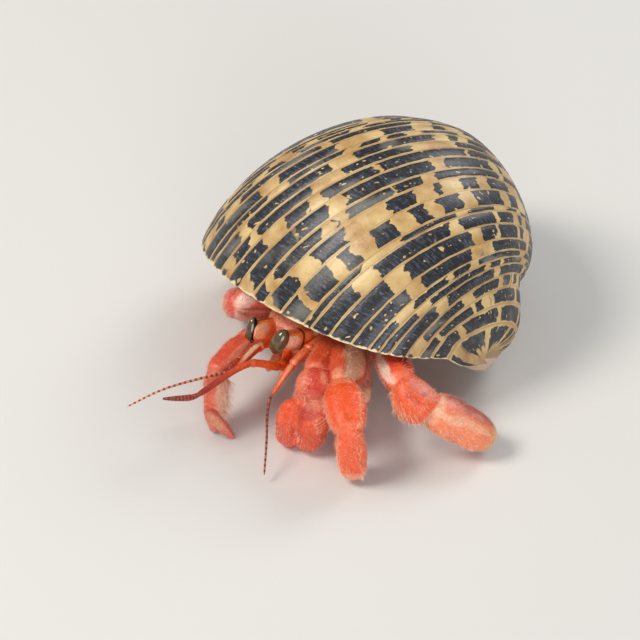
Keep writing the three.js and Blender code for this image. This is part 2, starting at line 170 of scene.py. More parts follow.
@dataclass(frozen=True)
class ShellFinish:
    """Grown shell lime under a thin horny skin, which gives a satin gloss over crisp dark dashes."""

    dark: str = "#101219"
    sheen_slate: str = "#5b6272"
    # The slate speckle is partly real scratches and partly painted sheen and glints on the black.
    smudge: str = "#7d7a72"
    cream: str = "#d9bb80"
    ochre: str = "#b2864b"
    groove: str = "#ab8450"
    lip: str = "#e2d2a8"
    nacre: str = "#cdb9a2"
    ior: float = 1.53
    roughness: float = 0.42
    lines_per_flame: float = 58.0  # growth lines 0.22 mm apart
    specks: float = 3.2  # waves of slate speckle on a millimetre
    patches: float = 0.42  # waves of ochre and cream on a millimetre
    ragged: float = 0.2  # how far a dash's end wanders, in flames
    slant: float = 0.07  # how far it leans across a rib, in flames
    centre: float = 0.135  # takes out again what these two move on average
    dash: tuple[float, float] = (0.3, 0.275)  # half its length is noise times the first, plus the second
    soft: tuple[float, float] = (-0.004, 0.008)  # where a dash's edge fades in, in flames
    chips: tuple[float, float] = (0.68, 0.7)  # noise above this chips a dash
    margin: tuple[float, float] = (0.34, -0.03)  # millimetres from a groove to a dash, as for the length
    scratches: tuple[float, float] = (0.46, 0.62)  # noise above this shows slate along the growth lines
    grain_height: float = 0.02  # millimetres

    def material(self) -> Material:
        """Build the material, which reads the ShellGrid attribute: flames, ribs, mm from a groove."""
        material, g, shader = start_material("nerite_shell_lime")
        grid = g.add("Attribute", out="Vector", attribute_name="ShellGrid")
        flame, rib, groove = g.add("SeparateXYZ", [grid]).node.outputs
        from_lip = g.add("Attribute", out="Fac", attribute_name="FromLip")
        place = g.add("TexCoord", out="Object")
        row = g.add("Math", [rib], operation="FLOOR")
        across = g.add("Math", [rib], operation="FRACT")

        # A dash ends a little ragged and slanting, and each rib breaks its own dashes.
        ragged = self.along(g, flame, rib, 5.0, 1.7, 3.0)
        slant = g.add("Math", [across, self.slant, flame], operation="MULTIPLY_ADD")
        bent = g.add("Math", [ragged, self.ragged, slant], operation="MULTIPLY_ADD")
        bent = g.add("Math", [bent, self.centre], operation="SUBTRACT")
        place_in_flame = g.add("Math", [bent], operation="FRACT")
        far = g.add("Math", [place_in_flame, 0.5], operation="SUBTRACT")
        far = g.add("Math", [far], operation="ABSOLUTE")
        width = self.along(g, flame, row, 1.0, 5.3, 0.0)
        edge = g.add("Math", [width, *self.dash], operation="MULTIPLY_ADD")
        over = g.add("Math", [edge, far], operation="SUBTRACT")
        dash = g.add("MapRange", [over, *self.soft])

        # Pale bars break the dashes, most of all on the narrow ribs and the old whorls.
        bars = self.along(g, bent, row, 4.3, 7.7, 0.0)
        few = self.along(g, flame, row, 0.8, 0.37, 1.0)
        few = g.add("MapRange", [few, 0.35, 0.65, 0.8, 0.62])
        old = g.add("MapRange", [flame, 2.0, 6.0, 0.0, 0.05])
        few = g.add("Math", [few, old], operation="SUBTRACT")
        bars = g.add("Math", [bars, few], operation="SUBTRACT")
        bars = g.add("MapRange", [bars, *self.soft])
        dash = g.add("Math", [dash, bars], operation="SUBTRACT", use_clamp=True)
        chips = self.along(g, flame, rib, 14.0, 2.9, 1.0)
        chips = g.add("MapRange", [chips, *self.chips])
        dash = g.add("Math", [dash, chips], operation="SUBTRACT", use_clamp=True)
        wall = g.add("Math", [ragged, *self.margin], operation="MULTIPLY_ADD")
        inside = g.add("Math", [groove, wall], operation="SUBTRACT")
        inside = g.add("MapRange", [inside, -0.015, 0.03])
        dash = g.add("Math", [dash, inside], operation="MULTIPLY")

        # Colours: blue-black with slate speckle along the growth lines, partly painted sheen and glints, and
        # cream that is ochre at the grooves.
        speck = g.add("TexNoise", {"Vector": place, "Scale": self.specks / MM, "Detail": 3.0})
        fine = self.along(g, flame, rib, self.lines_per_flame, 1.3, 2.0)
        scratch = g.add("MapRange", [fine, *self.scratches])
        speck = g.add("MapRange", [speck, 0.45, 0.7])
        light = g.add("Math", [speck, 0.8, 0.15], operation="MULTIPLY_ADD")
        light = g.add("Math", [scratch, light], operation="MULTIPLY")
        black = {0: light, 6: linear(self.dark), 7: linear(self.sheen_slate)}
        black = g.add("Mix", black, 2, data_type="RGBA")
        cloud = self.along(g, flame, rib, 1.9, 0.55, 3.0)
        cloud = g.add("MapRange", [cloud, 0.58, 0.7, 0.0, 0.75])
        black = g.add("Mix", {0: cloud, 6: black, 7: linear(self.smudge)}, 2, data_type="RGBA")
        warm = g.add("TexNoise", {"Vector": place, "Scale": self.patches / MM, "Detail": 4.0})
        pale = g.add("ValToRGB", [warm], stops=[(0.32, self.ochre), (0.62, self.cream)])
        near = g.add("MapRange", [groove, 0.0, 0.12, 0.8, 0.0])

        # The lip's edge and the inside are bare lime.
        rim = g.add("Math", [ragged, -1.5, from_lip], operation="MULTIPLY_ADD")
        rim = g.add("MapRange", [rim, -0.5, -0.7])
        inner = g.add("Math", [rib, 0.5], operation="LESS_THAN")
        groove_color, lip, nacre = linear(self.groove), linear(self.lip), linear(self.nacre)
        skin = pale
        for share, color in ((near, groove_color), (dash, black), (rim, lip), (inner, nacre)):
            skin = g.add("Mix", {0: share, 6: skin, 7: color}, 2, data_type="RGBA")

        height = g.add("Math", [fine, 0.7, speck], operation="MULTIPLY_ADD")
        relief = {"Height": height, "Distance": self.grain_height * MM, "Strength": 0.8}
        normal = g.add("Bump", relief)
        values = {"Base Color": skin, "Normal": normal, "Roughness": self.roughness, "IOR": self.ior}
        g.feed(shader, values | {"Coat Weight": 0.15, "Coat Roughness": 0.3})
        return material

    @staticmethod
    def along(
        g: Graph, flame: object, rib: object, waves: float, across: float, detail: float
    ) -> NodeSocket:
        """Give soft random numbers on the shell's grid.

        Args:
            g: The graph.
            flame: Socket of the place along the rib, in flames.
            rib: Socket of the place across the ribs.
            waves: Waves in each flame.
            across: Waves in each rib.
            detail: Octaves.

        Returns:
            The number's socket.
        """
        x = g.add("Math", [flame, waves], operation="MULTIPLY")
        y = g.add("Math", [rib, across], operation="MULTIPLY")
        spot = g.add("CombineXYZ", [x, y, waves])
        return g.add("TexNoise", {"Vector": spot, "Scale": 1.0, "Detail": detail})


COAT_DEPTH = 0.12  # the crab's skin lies this far inside the frame's flesh, in millimetres


# ---- Meshes ---------------------------------------------------------------------------------


def smoothstep(value: Array, low: float, high: float) -> Array:
    """Pass smoothly from 0 at `low` to 1 at `high`."""
    t = np.clip((value - low) / (high - low), 0, 1)
    return t * t * (3 - 2 * t)


def frame_offset() -> Array:
    """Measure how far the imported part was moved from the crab's own frame, in millimetres."""
    low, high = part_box("eye_left")
    return np.array((low + high) / 2) / MM - np.array(LEFT_EYE)


def add_object(name: str, data: ID) -> Object:
    """Put new data into the scene as an object of its own."""
    obj = bpy.data.objects.new(name, data)
    bpy.context.scene.collection.objects.link(obj)
    return obj


def read(items: bpy_prop_collection, key: str, width: int, kind: type = np.float32) -> Array:
    """Read one property of each of a mesh's elements.

    Args:
        items: The elements.
        key: The property's name.
        width: How many numbers it has.
        kind: Their type.

    Returns:
        One row for each element.
    """
    values = np.empty(width * len(items), kind)
    items.foreach_get(key, values)
    return values.reshape(-1, width)


def interpolate(x: Array, places: Array, rows: Array) -> Array:
    """Read rows of values between the places at which they are known."""
    return np.stack([np.interp(x, places, column) for column in rows.T], axis=-1)


def spread(count: int, even: float) -> Array:
    """Place rings from 0 to 1, evenly where `even` is 1 and closer together at both ends below it."""
    v = (np.arange(count) + 0.5) / count
    return even * v + (1 - even) * (1 - np.cos(math.pi * v)) / 2


def degrees_from(angle: float, theta: Array) -> Array:
    """Give how far angles in radians lie from one in degrees, from -180 to 180."""
    return (np.degrees(theta) - angle + 180) % 360 - 180


def mix_in(color: Array, hex_color: str, share: Array) -> Array:
    """Mix a hex colour into linear ones by a share, which is held between 0 and 1."""
    return color + (np.array(linear(hex_color)) - color) * np.clip(share, 0, 1)[..., None]


def make_object(
    name: str, points: Array, faces: Sequence[Sequence[int]], attributes: dict[str, tuple[str, Array]]
) -> Object:
    """Make a mesh object from millimetre points in the crab's own frame.

    Args:
        name: The object's name.
        points: One row for each vertex.
        faces: Vertex numbers of each face.
        attributes: Name to its domain and its values, one row for each element.

    Returns:
        The object, at the origin, smooth-shaded.
    """
    mesh = bpy.data.meshes.new(name)
    mesh.from_pydata(((points + frame_offset()) * MM).tolist(), [], faces)
    for title, (domain, values) in attributes.items():
        kind, key = ATTRIBUTE_KINDS[values.shape[1:]]
        layer = mesh.attributes.new(title, kind, domain)
        layer.data.foreach_set(key, np.ascontiguousarray(values, np.float32).ravel())
    mesh.shade_smooth()
    return add_object(name, mesh)


def settle(obj: Object) -> None:
    """Replace an object's mesh by what its modifiers make of it, and drop them.

    Args:
        obj: The object.
    """
    graph = bpy.context.evaluated_depsgraph_get()
    made = bpy.data.meshes.new_from_object(
        obj.evaluated_get(graph), preserve_all_data_layers=True, depsgraph=graph
    )
    old = obj.data
    obj.modifiers.clear()
    obj.data = made
    made.name = obj.name
    bpy.data.meshes.remove(old)


def join_solids(obj: Object, others: Sequence[Object], cut: bool = False) -> None:
    """Join solids to an object, or cut them from it, and remove them.

    Args:
        obj: The solid that stays.
        others: The solids that are used up.
        cut: Whether they are cut away.
    """
    for other in others:
        boolean = obj.modifiers.new(other.name, "BOOLEAN")
        boolean.operation = "DIFFERENCE" if cut else "UNION"
        boolean.solver = "MANIFOLD"
        boolean.object = other
    settle(obj)
    for other in others:
        bpy.data.meshes.remove(other.data)


def finish_piece(obj: Object, material: Material, nodes: Sequence[str]) -> None:
    """Dress a piece, hang it on the body and hide the CAD nodes that it replaces.

    Args:
        obj: The piece.
        material: Its material.
        nodes: CAD nodes that it replaces.
    """
    obj.data.materials.clear()
    obj.data.materials.append(material)
    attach(obj, BODY)
    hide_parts(*nodes)
    triangles = sum(len(face.vertices) - 2 for face in obj.data.polygons)
    LOG.info("%s: %d triangles", obj.name, triangles)


def turn_outward(obj: Object) -> None:
    """Turn a closed solid's faces outward if they all point in.

    Args:
        obj: The solid.
    """
    mesh = bmesh.new()
    mesh.from_mesh(obj.data)
    if mesh.calc_volume(signed=True) < 0:
        bmesh.ops.reverse_faces(mesh, faces=mesh.faces)
        mesh.to_mesh(obj.data)
    mesh.free()


def keep_largest(obj: Object) -> None:
    """Drop every loose shell of a mesh but the one with the most vertices.

    Args:
        obj: Its object.
    """
    mesh = bmesh.new()
    mesh.from_mesh(obj.data)
    left = set(mesh.verts)
    islands = []
    while left:
        front = [left.pop()]
        island = set(front)
        while front:
            for edge in front.pop().link_edges:
                for vertex in edge.verts:
                    if vertex in left:
                        left.remove(vertex)
                        island.add(vertex)
                        front.append(vertex)
        islands.append(island)
    islands.sort(key=len)
    for island in islands[:-1]:
        bmesh.ops.delete(mesh, geom=list(island), context="VERTS")
    mesh.to_mesh(obj.data)
    mesh.free()


def grid_faces(index: Array, wrap: bool = False) -> list[tuple[int, ...]]:
    """Join a grid of vertex numbers by four-sided faces.

    Args:
        index: Vertex numbers, one row for each line of the grid.
        wrap: Whether the last column joins the first.

    Returns:
        The faces.
    """
    right = np.roll(index, -1, axis=1) if wrap else index[:, 1:]
    left = index if wrap else index[:, :-1]
    quads = np.stack([left[:-1], right[:-1], right[1:], left[1:]], axis=-1).reshape(-1, 4)
    return [tuple(q) for q in quads.tolist()]


def close_tube(points: Array) -> tuple[Array, list[tuple[int, ...]]]:
    """Close a grid of points into a tube, with a fan of triangles on each end.

    Args:
        points: Points by ring and by place round it.

    Returns:
        The points in one list, with the middle of each end last, and the faces.
    """
    rings, sides = points.shape[:2]
    index = np.arange(rings * sides).reshape(rings, sides)
    start, end = rings * sides, rings * sides + 1
    faces = grid_faces(index, wrap=True)
    for j in range(sides):
        k = (j + 1) % sides
        faces += [(start, k, j), (end, index[-1, j], index[-1, k])]
    return np.concatenate([points.reshape(-1, 3), points[:1].mean(axis=1), points[-1:].mean(axis=1)]), faces


# ---- The shell ------------------------------------------------------------------------------


@dataclass(frozen=True)
class Rib:
    """One spiral rib: its share of the profile, and where its first pale flame stands."""

    width: float
    shift: float


RIB_PLAN = (
    (0.03, 0.2), (0.03, 0.5), (0.029, 0.9), (0.036, 0.5), (0.049, 0.86), (0.028, 0.88),
    (0.044, 0.42), (0.039, 1.1), (0.046, 0.52), (0.054, 1.02), (0.041, 0.8), (0.057, 0.92),
    (0.072, 0.55), (0.024, 0.75), (0.056, 0.57), (0.069, 0.72), (0.054, 0.75), (0.034, 0.46),
    (0.033, 0.62), (0.049, 0.76), (0.034, 0.15), (0.031, 0.35), (0.034, 0.6), (0.027, 0.2),
)
RIBS = tuple(Rib(width, shift) for width, shift in RIB_PLAN)  # from the shoulder to the base
SPIRE_RIBS = 5  # between the shoulder and the whorl before
FAR_FROM_LIP = 20.0  # millimetres, for what has no place along the whorl
RIB_CLEAR = 0.002  # corners stay this share of a rib inside it
FLAMES_APART = 7  # whole flames between two ribs' noise, so that each breaks its own dashes


@dataclass(frozen=True)
class Callus:
    """Sizes of the flat shelf behind the mouth, in millimetres in the shell's own axes."""

    middle: float = -3.8  # along the coiling axis
    half: float = 11.9  # half its length along the axis
    front: float = 5.4
    back: float = -5.0
    floor: float = -3.5  # its flat face
    slope: float = -0.19
    lip: float = 0.35  # radius of the straight inner lip's edge
    top: float = 0.5  # height of its hidden side, inside the whorl
    steps: int = 40


@dataclass(frozen=True)
class Bore:
    """How a hollow, or what fills it, runs back through the whorl."""

    start: float  # radians beyond the lip
    reach: float  # radians that it runs back from there
    rings: int
    rows: int  # steps down the profile
    ease: float = 1.0  # above 1, its rings crowd towards the mouth

    def turns(self) -> Array:
        """Place its rings, in radians beyond the lip."""
        return self.start - self.reach * np.linspace(0, 1, self.rings) ** self.ease


@dataclass
class NeriteShell:
    """A low shell whose one spiral widens fast, with flat spiral ribs and a callus in its mouth."""

    scale: float = 19.05
    growth: float = 5.224
    shoulder: float = math.radians(58.6)
    squareness: float = 0.347
    lean: float = 0.047
    middle: float = -0.201
    half_height: float = 0.758
    lip_drop: float = 0.219
    lip_tilt: float = math.tan(-0.441)
    base_fill: float = 0.8
    base_start: float = 0.87
    base_turn: float = -0.5
    corner_turn: float = 0.3  # radians by which the lip's end beside the base runs on
    corner_start: float = 0.95
    crown: float = 0.26
    spire: float = 0.56
    wall: float = 1.2
    lip_wall: float = 0.45  # the wall thins to this at the lip
    lip_bevel: float = 0.3  # radians over which it thins
    columella: float = 5.2
    apex: Point = (-1.42, 16.7, 6.6)
    heading: float = math.radians(-19.7)
    pitch: float = math.radians(-23.1)
    roll: float = math.radians(14.8)
    whorl: float = math.radians(410)
    columns: int = 342
    rib_rows: int = 6
    rib_height: float = 0.14
    groove_steepness: float = 3.2
    flame: float = math.radians(38.3)  # one black and one pale stretch of a rib
    profile_length: float = 1.9  # at turn 0, in scales
    crown_ease: float = 1.25  # above 1, the spire's rows crowd towards the whorl before
    spire_rib: float = 0.9  # width of the spire's ribs in millimetres
    spire_shifts: tuple[float, float] = (0.37, 0.2)  # its flames: further on by this each rib, from this
    cavity: Bore = Bore(0.5, 3.7, 73, 48, 1.3)
    filling: Bore = Bore(-0.5, 2.6, 40, 24)
    clearance: float = 0.6  # between the wall and the soft abdomen
    smooth_below: float = math.radians(42)
    callus: Callus = field(default_factory=Callus)
    finish: ShellFinish = field(default_factory=ShellFinish)

    def factor(self, turn: Array) -> Array:
        """Give the spiral's size at a turn, against its size at turn 0."""
        return np.exp(math.log(self.growth) / math.tau * turn)

    def profile(self, s: Array) -> tuple[Array, Array, Array]:
        """Give the cross-section.

        Args:
            s: Steps from the shoulder, 0, to the base, 1.

        Returns:
            Radius and height in scales, and the outward normal in columns.
        """
        t = self.shoulder + (-math.pi / 2 - self.shoulder) * s
        cosine = np.maximum(np.cos(t), 0)
        swell = 1 + self.lean * np.sin(t)
        radius = cosine**self.squareness * swell
        height = self.middle + self.half_height * np.sin(t)
        bend = -self.squareness * np.maximum(cosine, 0.02) ** (self.squareness - 1) * np.sin(t) * swell
        bend = bend + cosine**self.squareness * self.lean * np.cos(t)
        rise = self.half_height * np.cos(t)
        length = np.hypot(bend, rise)
        return radius, height, np.stack([rise / length, -bend / length], axis=-1)

    def point(self, s: Array, turn: Array, out: Array | float = 0.0, inner: bool = False) -> Array:
        """Give points of the whorl in the shell's own axes.

        Args:
            s: Steps down the profile.
            turn: Turns round the axis.
            out: Distance outwards from the plain surface.
            inner: Whether the wall's inner face is meant, which the spire and base don't lift.

        Returns:
            One row for each point.
        """
        radius, height, normal = self.profile(s)
        k = self.factor(turn)
        r = np.maximum(k * radius * self.scale + out * normal[..., 0], 0)
        z = k * height * self.scale + out * normal[..., 1]
        if not inner:
            tip = np.maximum(0, 1 - k / self.factor(-math.pi / 2)) * np.maximum(0, 1 - s / 0.25) ** 2
            base = np.maximum(0, self.factor(self.base_turn) - k) * smoothstep(s, self.base_start, 1)
            z = z + (self.spire * tip - self.base_fill * base) * self.scale
        return np.stack([r * np.cos(turn), -r * np.sin(turn), z], axis=-1)

    def lip_turn(self, s: Array) -> Array:
        """Find the turn at which each line of the profile ends, in the plane of the lip.

        Args:
            s: Steps down the profile.

        Returns:
            The turns, found by halving.
        """
        radius, height, _ = self.profile(s)
        low = np.full_like(s, self.base_turn)
        high = np.full_like(s, 1.2)
        for _ in range(30):
            turn = (low + high) / 2
            k = self.factor(turn)
            above = -k * radius * np.sin(turn) + self.lip_drop > self.lip_tilt * (k * height - self.middle)
            low = np.where(above, turn, low)
            high = np.where(above, high, turn)
        corner = np.clip((s - self.corner_start) / (1 - self.corner_start), 0, 1) * (s < 1)
        return low + self.corner_turn * corner**3

    def to_crab(self, points: Array) -> Array:
        """Turn points from the shell's own axes to the crab's.

        Args:
            points: One row for each point.

        Returns:
            The points in the crab's frame, none of them below the ground.
        """
        axes = Matrix(((0, 0, -1), (-1, 0, 0), (0, 1, 0)))
        turn = Matrix.Rotation(self.heading, 3, "Z") @ Matrix.Rotation(self.pitch, 3, "X")
        turn = turn @ Matrix.Rotation(self.roll, 3, "Y") @ axes
        placed = points @ np.array(turn).T + np.array(self.apex)
        placed[:, 2] = np.maximum(placed[:, 2], 0)  # it rests flat on the ground
        return placed

    def rib_lift(self, part: Array, turn: Array) -> Array:
        """Give a rib's height: flat-topped, with narrow grooves, and smaller on the early whorls."""
        low = np.abs(2 * part - 1) ** self.groove_steepness
        return self.rib_height * (0.45 - low) * np.minimum(1, self.factor(turn)) ** 0.8

    def rib_edges(self) -> Array:
        """Give where the ribs meet, in steps down the profile."""
        edges = np.concatenate([[0], np.cumsum([rib.width for rib in RIBS])])
        return edges / edges[-1]

    def side_rows(self) -> tuple[Array, Array, Array, Array]:
        """List the rows down the profile.

        Returns:
            Steps down the profile, rib numbers, places across the rib, and flame shifts.
        """
        edges = self.rib_edges()
        steps, ribs, parts, shifts = [], [], [], []
        for number, rib in enumerate(RIBS):
            for j in range(self.rib_rows):
                part = j / self.rib_rows
                steps.append(edges[number] + (edges[number + 1] - edges[number]) * part)
                ribs.append(number)
                parts.append(part)
                shifts.append(rib.shift)
        return np.array([*steps, 1.0]), np.array(ribs), np.array(parts), np.array(shifts)

    def place_outside(self, s: Array, parts: Array, back: Array) -> Array:
        """Place the outside's vertices: the side, a ring of the whorl before, the spire and its tip.

        Args:
            s: Steps down the profile of the side's rows.
            parts: Where each row but the last lies across its rib.
            back: Turns back from the lip of the columns, for two whorls.

        Returns:
            One row for each vertex, in the shell's own axes.
        """
        count = self.columns
        lip = self.lip_turn(s)
        turn = lip[:, None] - back[None, : count + 1]
        lift = self.rib_lift(np.append(parts, 0)[:, None], turn)
        side = self.point(s[:, None] + 0 * turn, turn, lift)
        ring = self.point(np.zeros(count), lip[0] - back[count + 1 :])

        rows = SPIRE_RIBS * self.rib_rows
        t = np.arange(1, rows)[:, None, None] / rows
        outer = side[0][None]
        inner = np.concatenate([side[0, count:], ring])[None]
        span = np.linalg.norm(inner - outer, axis=-1, keepdims=True)
        crown = outer + (inner - outer) * (1 - (1 - t) ** self.crown_ease)
        ribs = self.rib_lift((t * SPIRE_RIBS) % 1, turn[0][None, :, None])
        bulge = span * self.crown * 4 * t * (1 - t) ** 2
        crown[..., 2:] += bulge + ribs * np.sin(math.pi * t) ** 0.5
        tip = [[0, 0, self.spire * self.scale]]
        return np.concatenate([side.reshape(-1, 3), ring, crown.reshape(-1, 3), tip])

    def number_outside(self, rows: int) -> tuple[Array, Array, int]:
        """Number the outside's vertices in the order in which they are placed.

        Args:
            rows: Rows down the profile.

        Returns:
            The side's numbers by row and column, the spire's from the shoulder in, and the tip's.
        """
        width = self.columns + 1
        side = np.arange(rows * width).reshape(rows, width)
        ring = rows * width + np.arange(self.columns)
        crown_rows = SPIRE_RIBS * self.rib_rows - 1
        crown = ring[-1] + 1 + np.arange(crown_rows * width).reshape(crown_rows, width)
        inner = np.concatenate([side[0, self.columns :], ring])
        return side, np.concatenate([side[:1], crown, inner[None]]), int(crown[-1, -1]) + 1

    def plain_faces(self, side: Array, spire: Array, tip: int) -> list[tuple[int, ...]]:
        """Close the outside round the spire's tip, under the base and across the mouth.

        Args:
            side: The side's vertex numbers.
            spire: The spire's.
            tip: The tip's.

        Returns:
            The faces, with those round the tip first.
        """
        count, rows, last = self.columns, len(spire) - 1, len(side) - 1
        foot = side[last - 1, 0]
        faces = [(spire[-1, i], spire[-1, i + 1], tip) for i in range(count)]
        faces += [(foot, side[last, i + 1], side[last, i]) for i in range(count)]
        faces += [(tip, spire[e + 1, count], spire[e, count]) for e in range(rows)]
        faces += [(spire[0, 0], spire[e, 0], spire[e + 1, 0]) for e in range(1, rows)]
        faces += [(side[j, 0], side[j, count], side[j + 1, count], side[j + 1, 0]) for j in range(last - 1)]
        return [*faces, (foot, side[last - 1, count], side[last, count])]

    def outside(self) -> Object:
        """Build the ribbed outside as one closed solid.

        Returns:
            Its object, with the shell's grid on its corners.
        """
        s, ribs, parts, shifts = self.side_rows()
        back = np.arange(2 * self.columns + 1) * (self.whorl / self.columns)
        points = self.place_outside(s, parts, back)
        side, spire, tip = self.number_outside(len(s))
        plain = self.plain_faces(side, spire, tip)

        # The grid on the corners: flames along the rib, ribs across, millimetres from a groove.
        arc = back[: self.columns + 1]
        widths = np.diff(self.rib_edges())[ribs] * self.scale * self.profile_length
        upward = [row[::-1] for row in (ribs, parts, shifts, widths)]
        side_corners = self.corner_grid(arc / self.flame, *upward, True)
        row = np.arange(len(spire) - 1)
        rib, across = row // self.rib_rows, (row / self.rib_rows) % 1
        step, start = self.spire_shifts
        inward = len(RIBS) + rib, across, step * rib + start, np.full(len(row), self.spire_rib)
        spire_corners = self.corner_grid(arc / self.flame, *inward, False)
        plain_corners = np.zeros((sum(len(face) for face in plain), 3))
        plain_corners[: 3 * self.columns] = (0.3, len(RIBS) + SPIRE_RIBS + 0.5, 0.5)  # round the tip
        grid = np.concatenate([side_corners, spire_corners, plain_corners])

        from_lip = np.full(len(points), FAR_FROM_LIP)
        from_lip[side] = arc * self.scale
        from_lip[spire[1:-1]] = arc * self.scale
        attributes = {"ShellGrid": ("CORNER", grid), "FromLip": ("POINT", from_lip)}
        faces = grid_faces(side[::-1]) + grid_faces(spire) + plain
        return make_object("nerite_shell", self.to_crab(points), faces, attributes)

    def corner_grid(
        self, flames: Array, ribs: Array, parts: Array, shifts: Array, widths: Array, upward: bool
    ) -> Array:
        """Work out the shell's grid at each face's corners, rib by rib.

        Args:
            flames: Place along the rib of each column of vertices.
            ribs: Rib number of each row of faces.
            parts: Where the row starts across its rib.
            shifts: Where the rib's flames stand.
            widths: The rib's width in millimetres.
            upward: Whether the faces' first row of vertices is the far one across the rib.

        Returns:
            One row for each corner.
        """
        near, far = parts, parts + 1 / self.rib_rows
        order = (far, far, near, near) if upward else (near, near, far, far)
        sides = (flames[:-1], flames[1:], flames[1:], flames[:-1])
        corners = []
        for part, along in zip(order, sides, strict=True):
            part_grid = np.broadcast_to(part[:, None], (len(ribs), len(along)))
            clipped = np.clip(part_grid, RIB_CLEAR, 1 - RIB_CLEAR)
            flame = along[None, :] - shifts[:, None] + FLAMES_APART * ribs[:, None]
            gap = np.minimum(clipped, 1 - clipped) * widths[:, None]
            corners.append(np.stack([flame + 0 * clipped, 1 + ribs[:, None] + clipped, gap], axis=-1))
        return np.stack(corners, axis=2).reshape(-1, 3)

    def room_rings(self, wall: Array, bore: Bore) -> Array:
        """Place rings round the room inside the whorl.

        Args:
            wall: Thickness of the wall at each ring.
            bore: How it runs.

        Returns:
            Points by ring and by place round it, in the shell's own axes.
        """
        turns = bore.turns()
        j = np.arange(bore.rows + 1) / bore.rows
        s = 0.03 + 0.955 * (1 - (1 - j) ** 1.4)  # it stops short of the shoulder and the base
        turn = self.lip_turn(s)[None, :] + turns[:, None]
        side = self.point(s[None, :] + 0 * turn, turn, -wall[:, None], inner=True)
        edges = []
        for edge in (side[:, -1], side[:, 0]):
            angle = np.arctan2(edge[:, 1], edge[:, 0])
            r = (self.columella - self.wall + wall) * self.factor(turns)
            edges.append(np.stack([r * np.cos(angle), r * np.sin(angle), edge[:, 2]], axis=-1)[:, None])
        return np.concatenate([side, *edges], axis=1)

    def room(self) -> Object:
        """Build the room inside the whorl, which thins the wall towards the lip.

        Returns:
            Its object, which is cut from the shell.
        """
        thinned = smoothstep(-self.cavity.turns(), -0.02, self.lip_bevel)
        wall = self.lip_wall + (self.wall - self.lip_wall) * thinned
        return self.lofted("room", self.room_rings(wall, self.cavity))

    def abdomen_rings(self) -> Array:
        """Place rings round the soft abdomen, which fills the room clear of the wall.

        Returns:
            Points by ring and by place round it, in the crab's frame.
        """
        wall = np.full(self.filling.rings, self.wall + self.clearance + COAT_DEPTH)
        rings = self.room_rings(wall, self.filling)
        return self.to_crab(rings.reshape(-1, 3)).reshape(rings.shape)

    def deck(self) -> Object:
        """Build the flat callus behind the mouth, whose front edge is the straight inner lip.

        Returns:
            Its object, which is joined to the shell.
        """
        c = self.callus
        t = np.linspace(-1, 1, c.steps)[:, None]
        full = np.sqrt(1 - 0.96 * t * t)  # rounded ends in plan
        z = c.middle + c.half * t
        low = c.floor + c.slope * (z - c.middle)
        back, front, top = c.back * full, c.front * full, c.top + 0 * t
        x = [back, back, 0.6 * c.back * full, front - c.lip, front, front]
        y = [top, 0.6 * low, low, low, low + c.lip, top]
        rings = np.stack([np.hstack(x), np.hstack(y), np.repeat(z, len(x), axis=1)], axis=-1)
        return self.lofted("deck", rings)

    def lofted(self, name: str, rings: Array) -> Object:
        """Join rings of points, in the shell's own axes, into a closed solid.

        Args:
            name: The object's name.
            rings: Points by ring and by place round it.

        Returns:
            Its object, with the shell's grid saying bare lime.
        """
        points, faces = close_tube(rings)
        grid = np.zeros((sum(len(face) for face in faces), 3))
        bare = {"ShellGrid": ("CORNER", grid), "FromLip": ("POINT", np.full(len(points), FAR_FROM_LIP))}
        obj = make_object(name, self.to_crab(points), faces, bare)
        turn_outward(obj)
        return obj

    def build(self) -> None:
        """Cut the room from the ribbed whorl, with the deck in it, and dress the shell."""
        shell = self.outside()
        turn_outward(shell)
        join_solids(shell, [self.deck()])
        join_solids(shell, [self.room()], cut=True)
        keep_largest(shell)
        shell.data.set_sharp_from_angle(angle=self.smooth_below)
        finish_piece(shell, self.finish.material(), ["shell"])


# ---- The crab's skin ------------------------------------------------------------------------

CORAL = "#ec5322"
FLAME = "#f4540f"
BLOOD = "#a81d0c"
DRIED = "#6e140a"
ROSE = "#b8433c"
PINK = "#f3a47a"
SHRIMP = "#f08a62"
CREAM = "#f6d4b2"
PEACH = "#fba873"
TAN = "#dca672"
ORANGE = "#ea5a1c"
SOFT = "#c9826b"

OVERLAP = 0.6  # neighbouring segments run into one another by this
END_POWER = 2.4  # how boxy a segment's ends are
KEEL_FADE = 0.15  # share of a segment over which a keel rises and sinks
BARE_BELOW = 0.9  # no bristle is rooted nearer the ground than this, in millimetres
ATLAS = 7  # segments on each side of the skin's unwrap
CELL_MARGIN = 0.03  # bare share of a cell's side along each edge


@dataclass(frozen=True)
class Spot:
    """An oval area on a segment."""

    t: float  # along the segment, 0 to 1
    angle: float  # degrees round it: 0 across, 90 up
    long: float  # half length, as a share
    wide: float  # half width in degrees

    def far(self, t: Array, theta: Array) -> Array:
        """Give how far places on the segment are from its middle, with 1 at its edge."""
        return np.hypot((t - self.t) / self.long, degrees_from(self.angle, theta) / self.wide)


@dataclass(frozen=True)
class Patch(Spot):
    """A soft-edged patch of colour."""

    color: str
    share: float = 1.0


@dataclass(frozen=True)
class Keel:
    """A ridge along a segment, or a furrow where its lift is negative."""

    angle: float
    lift: float
    spread: float
    start: float = 0.0
    end: float = 1.0


@dataclass(frozen=True)
class Fringe:
    """A strip of setae along a segment."""

    angle: float
    spread: float
    density: float  # bristles on a square millimetre
    length: float
    start: float = 0.0
    end: float = 1.0


@dataclass(frozen=True)
class Rasp(Spot):
    """A row of short ridges that the crab rubs for sound."""

    spacing: float = 0.34
    lift: float = 0.09
    slant: float = 0.015  # millimetres along for each degree round

    def crests(self, t: Array, theta: Array, length: float) -> Array:
        """Give the ridges' height.

        Args:
            t: Place along the segment.
            theta: Angle round it.
            length: The segment's length in millimetres.

        Returns:
            Heights from 0 to 1.
        """
        inside = 1 - smoothstep(self.far(t, theta), 0.75, 1.0)
        phase = math.tau * (t * length - self.slant * degrees_from(self.angle, theta)) / self.spacing
        return inside * smoothstep(np.cos(phase), -0.2, 0.9)


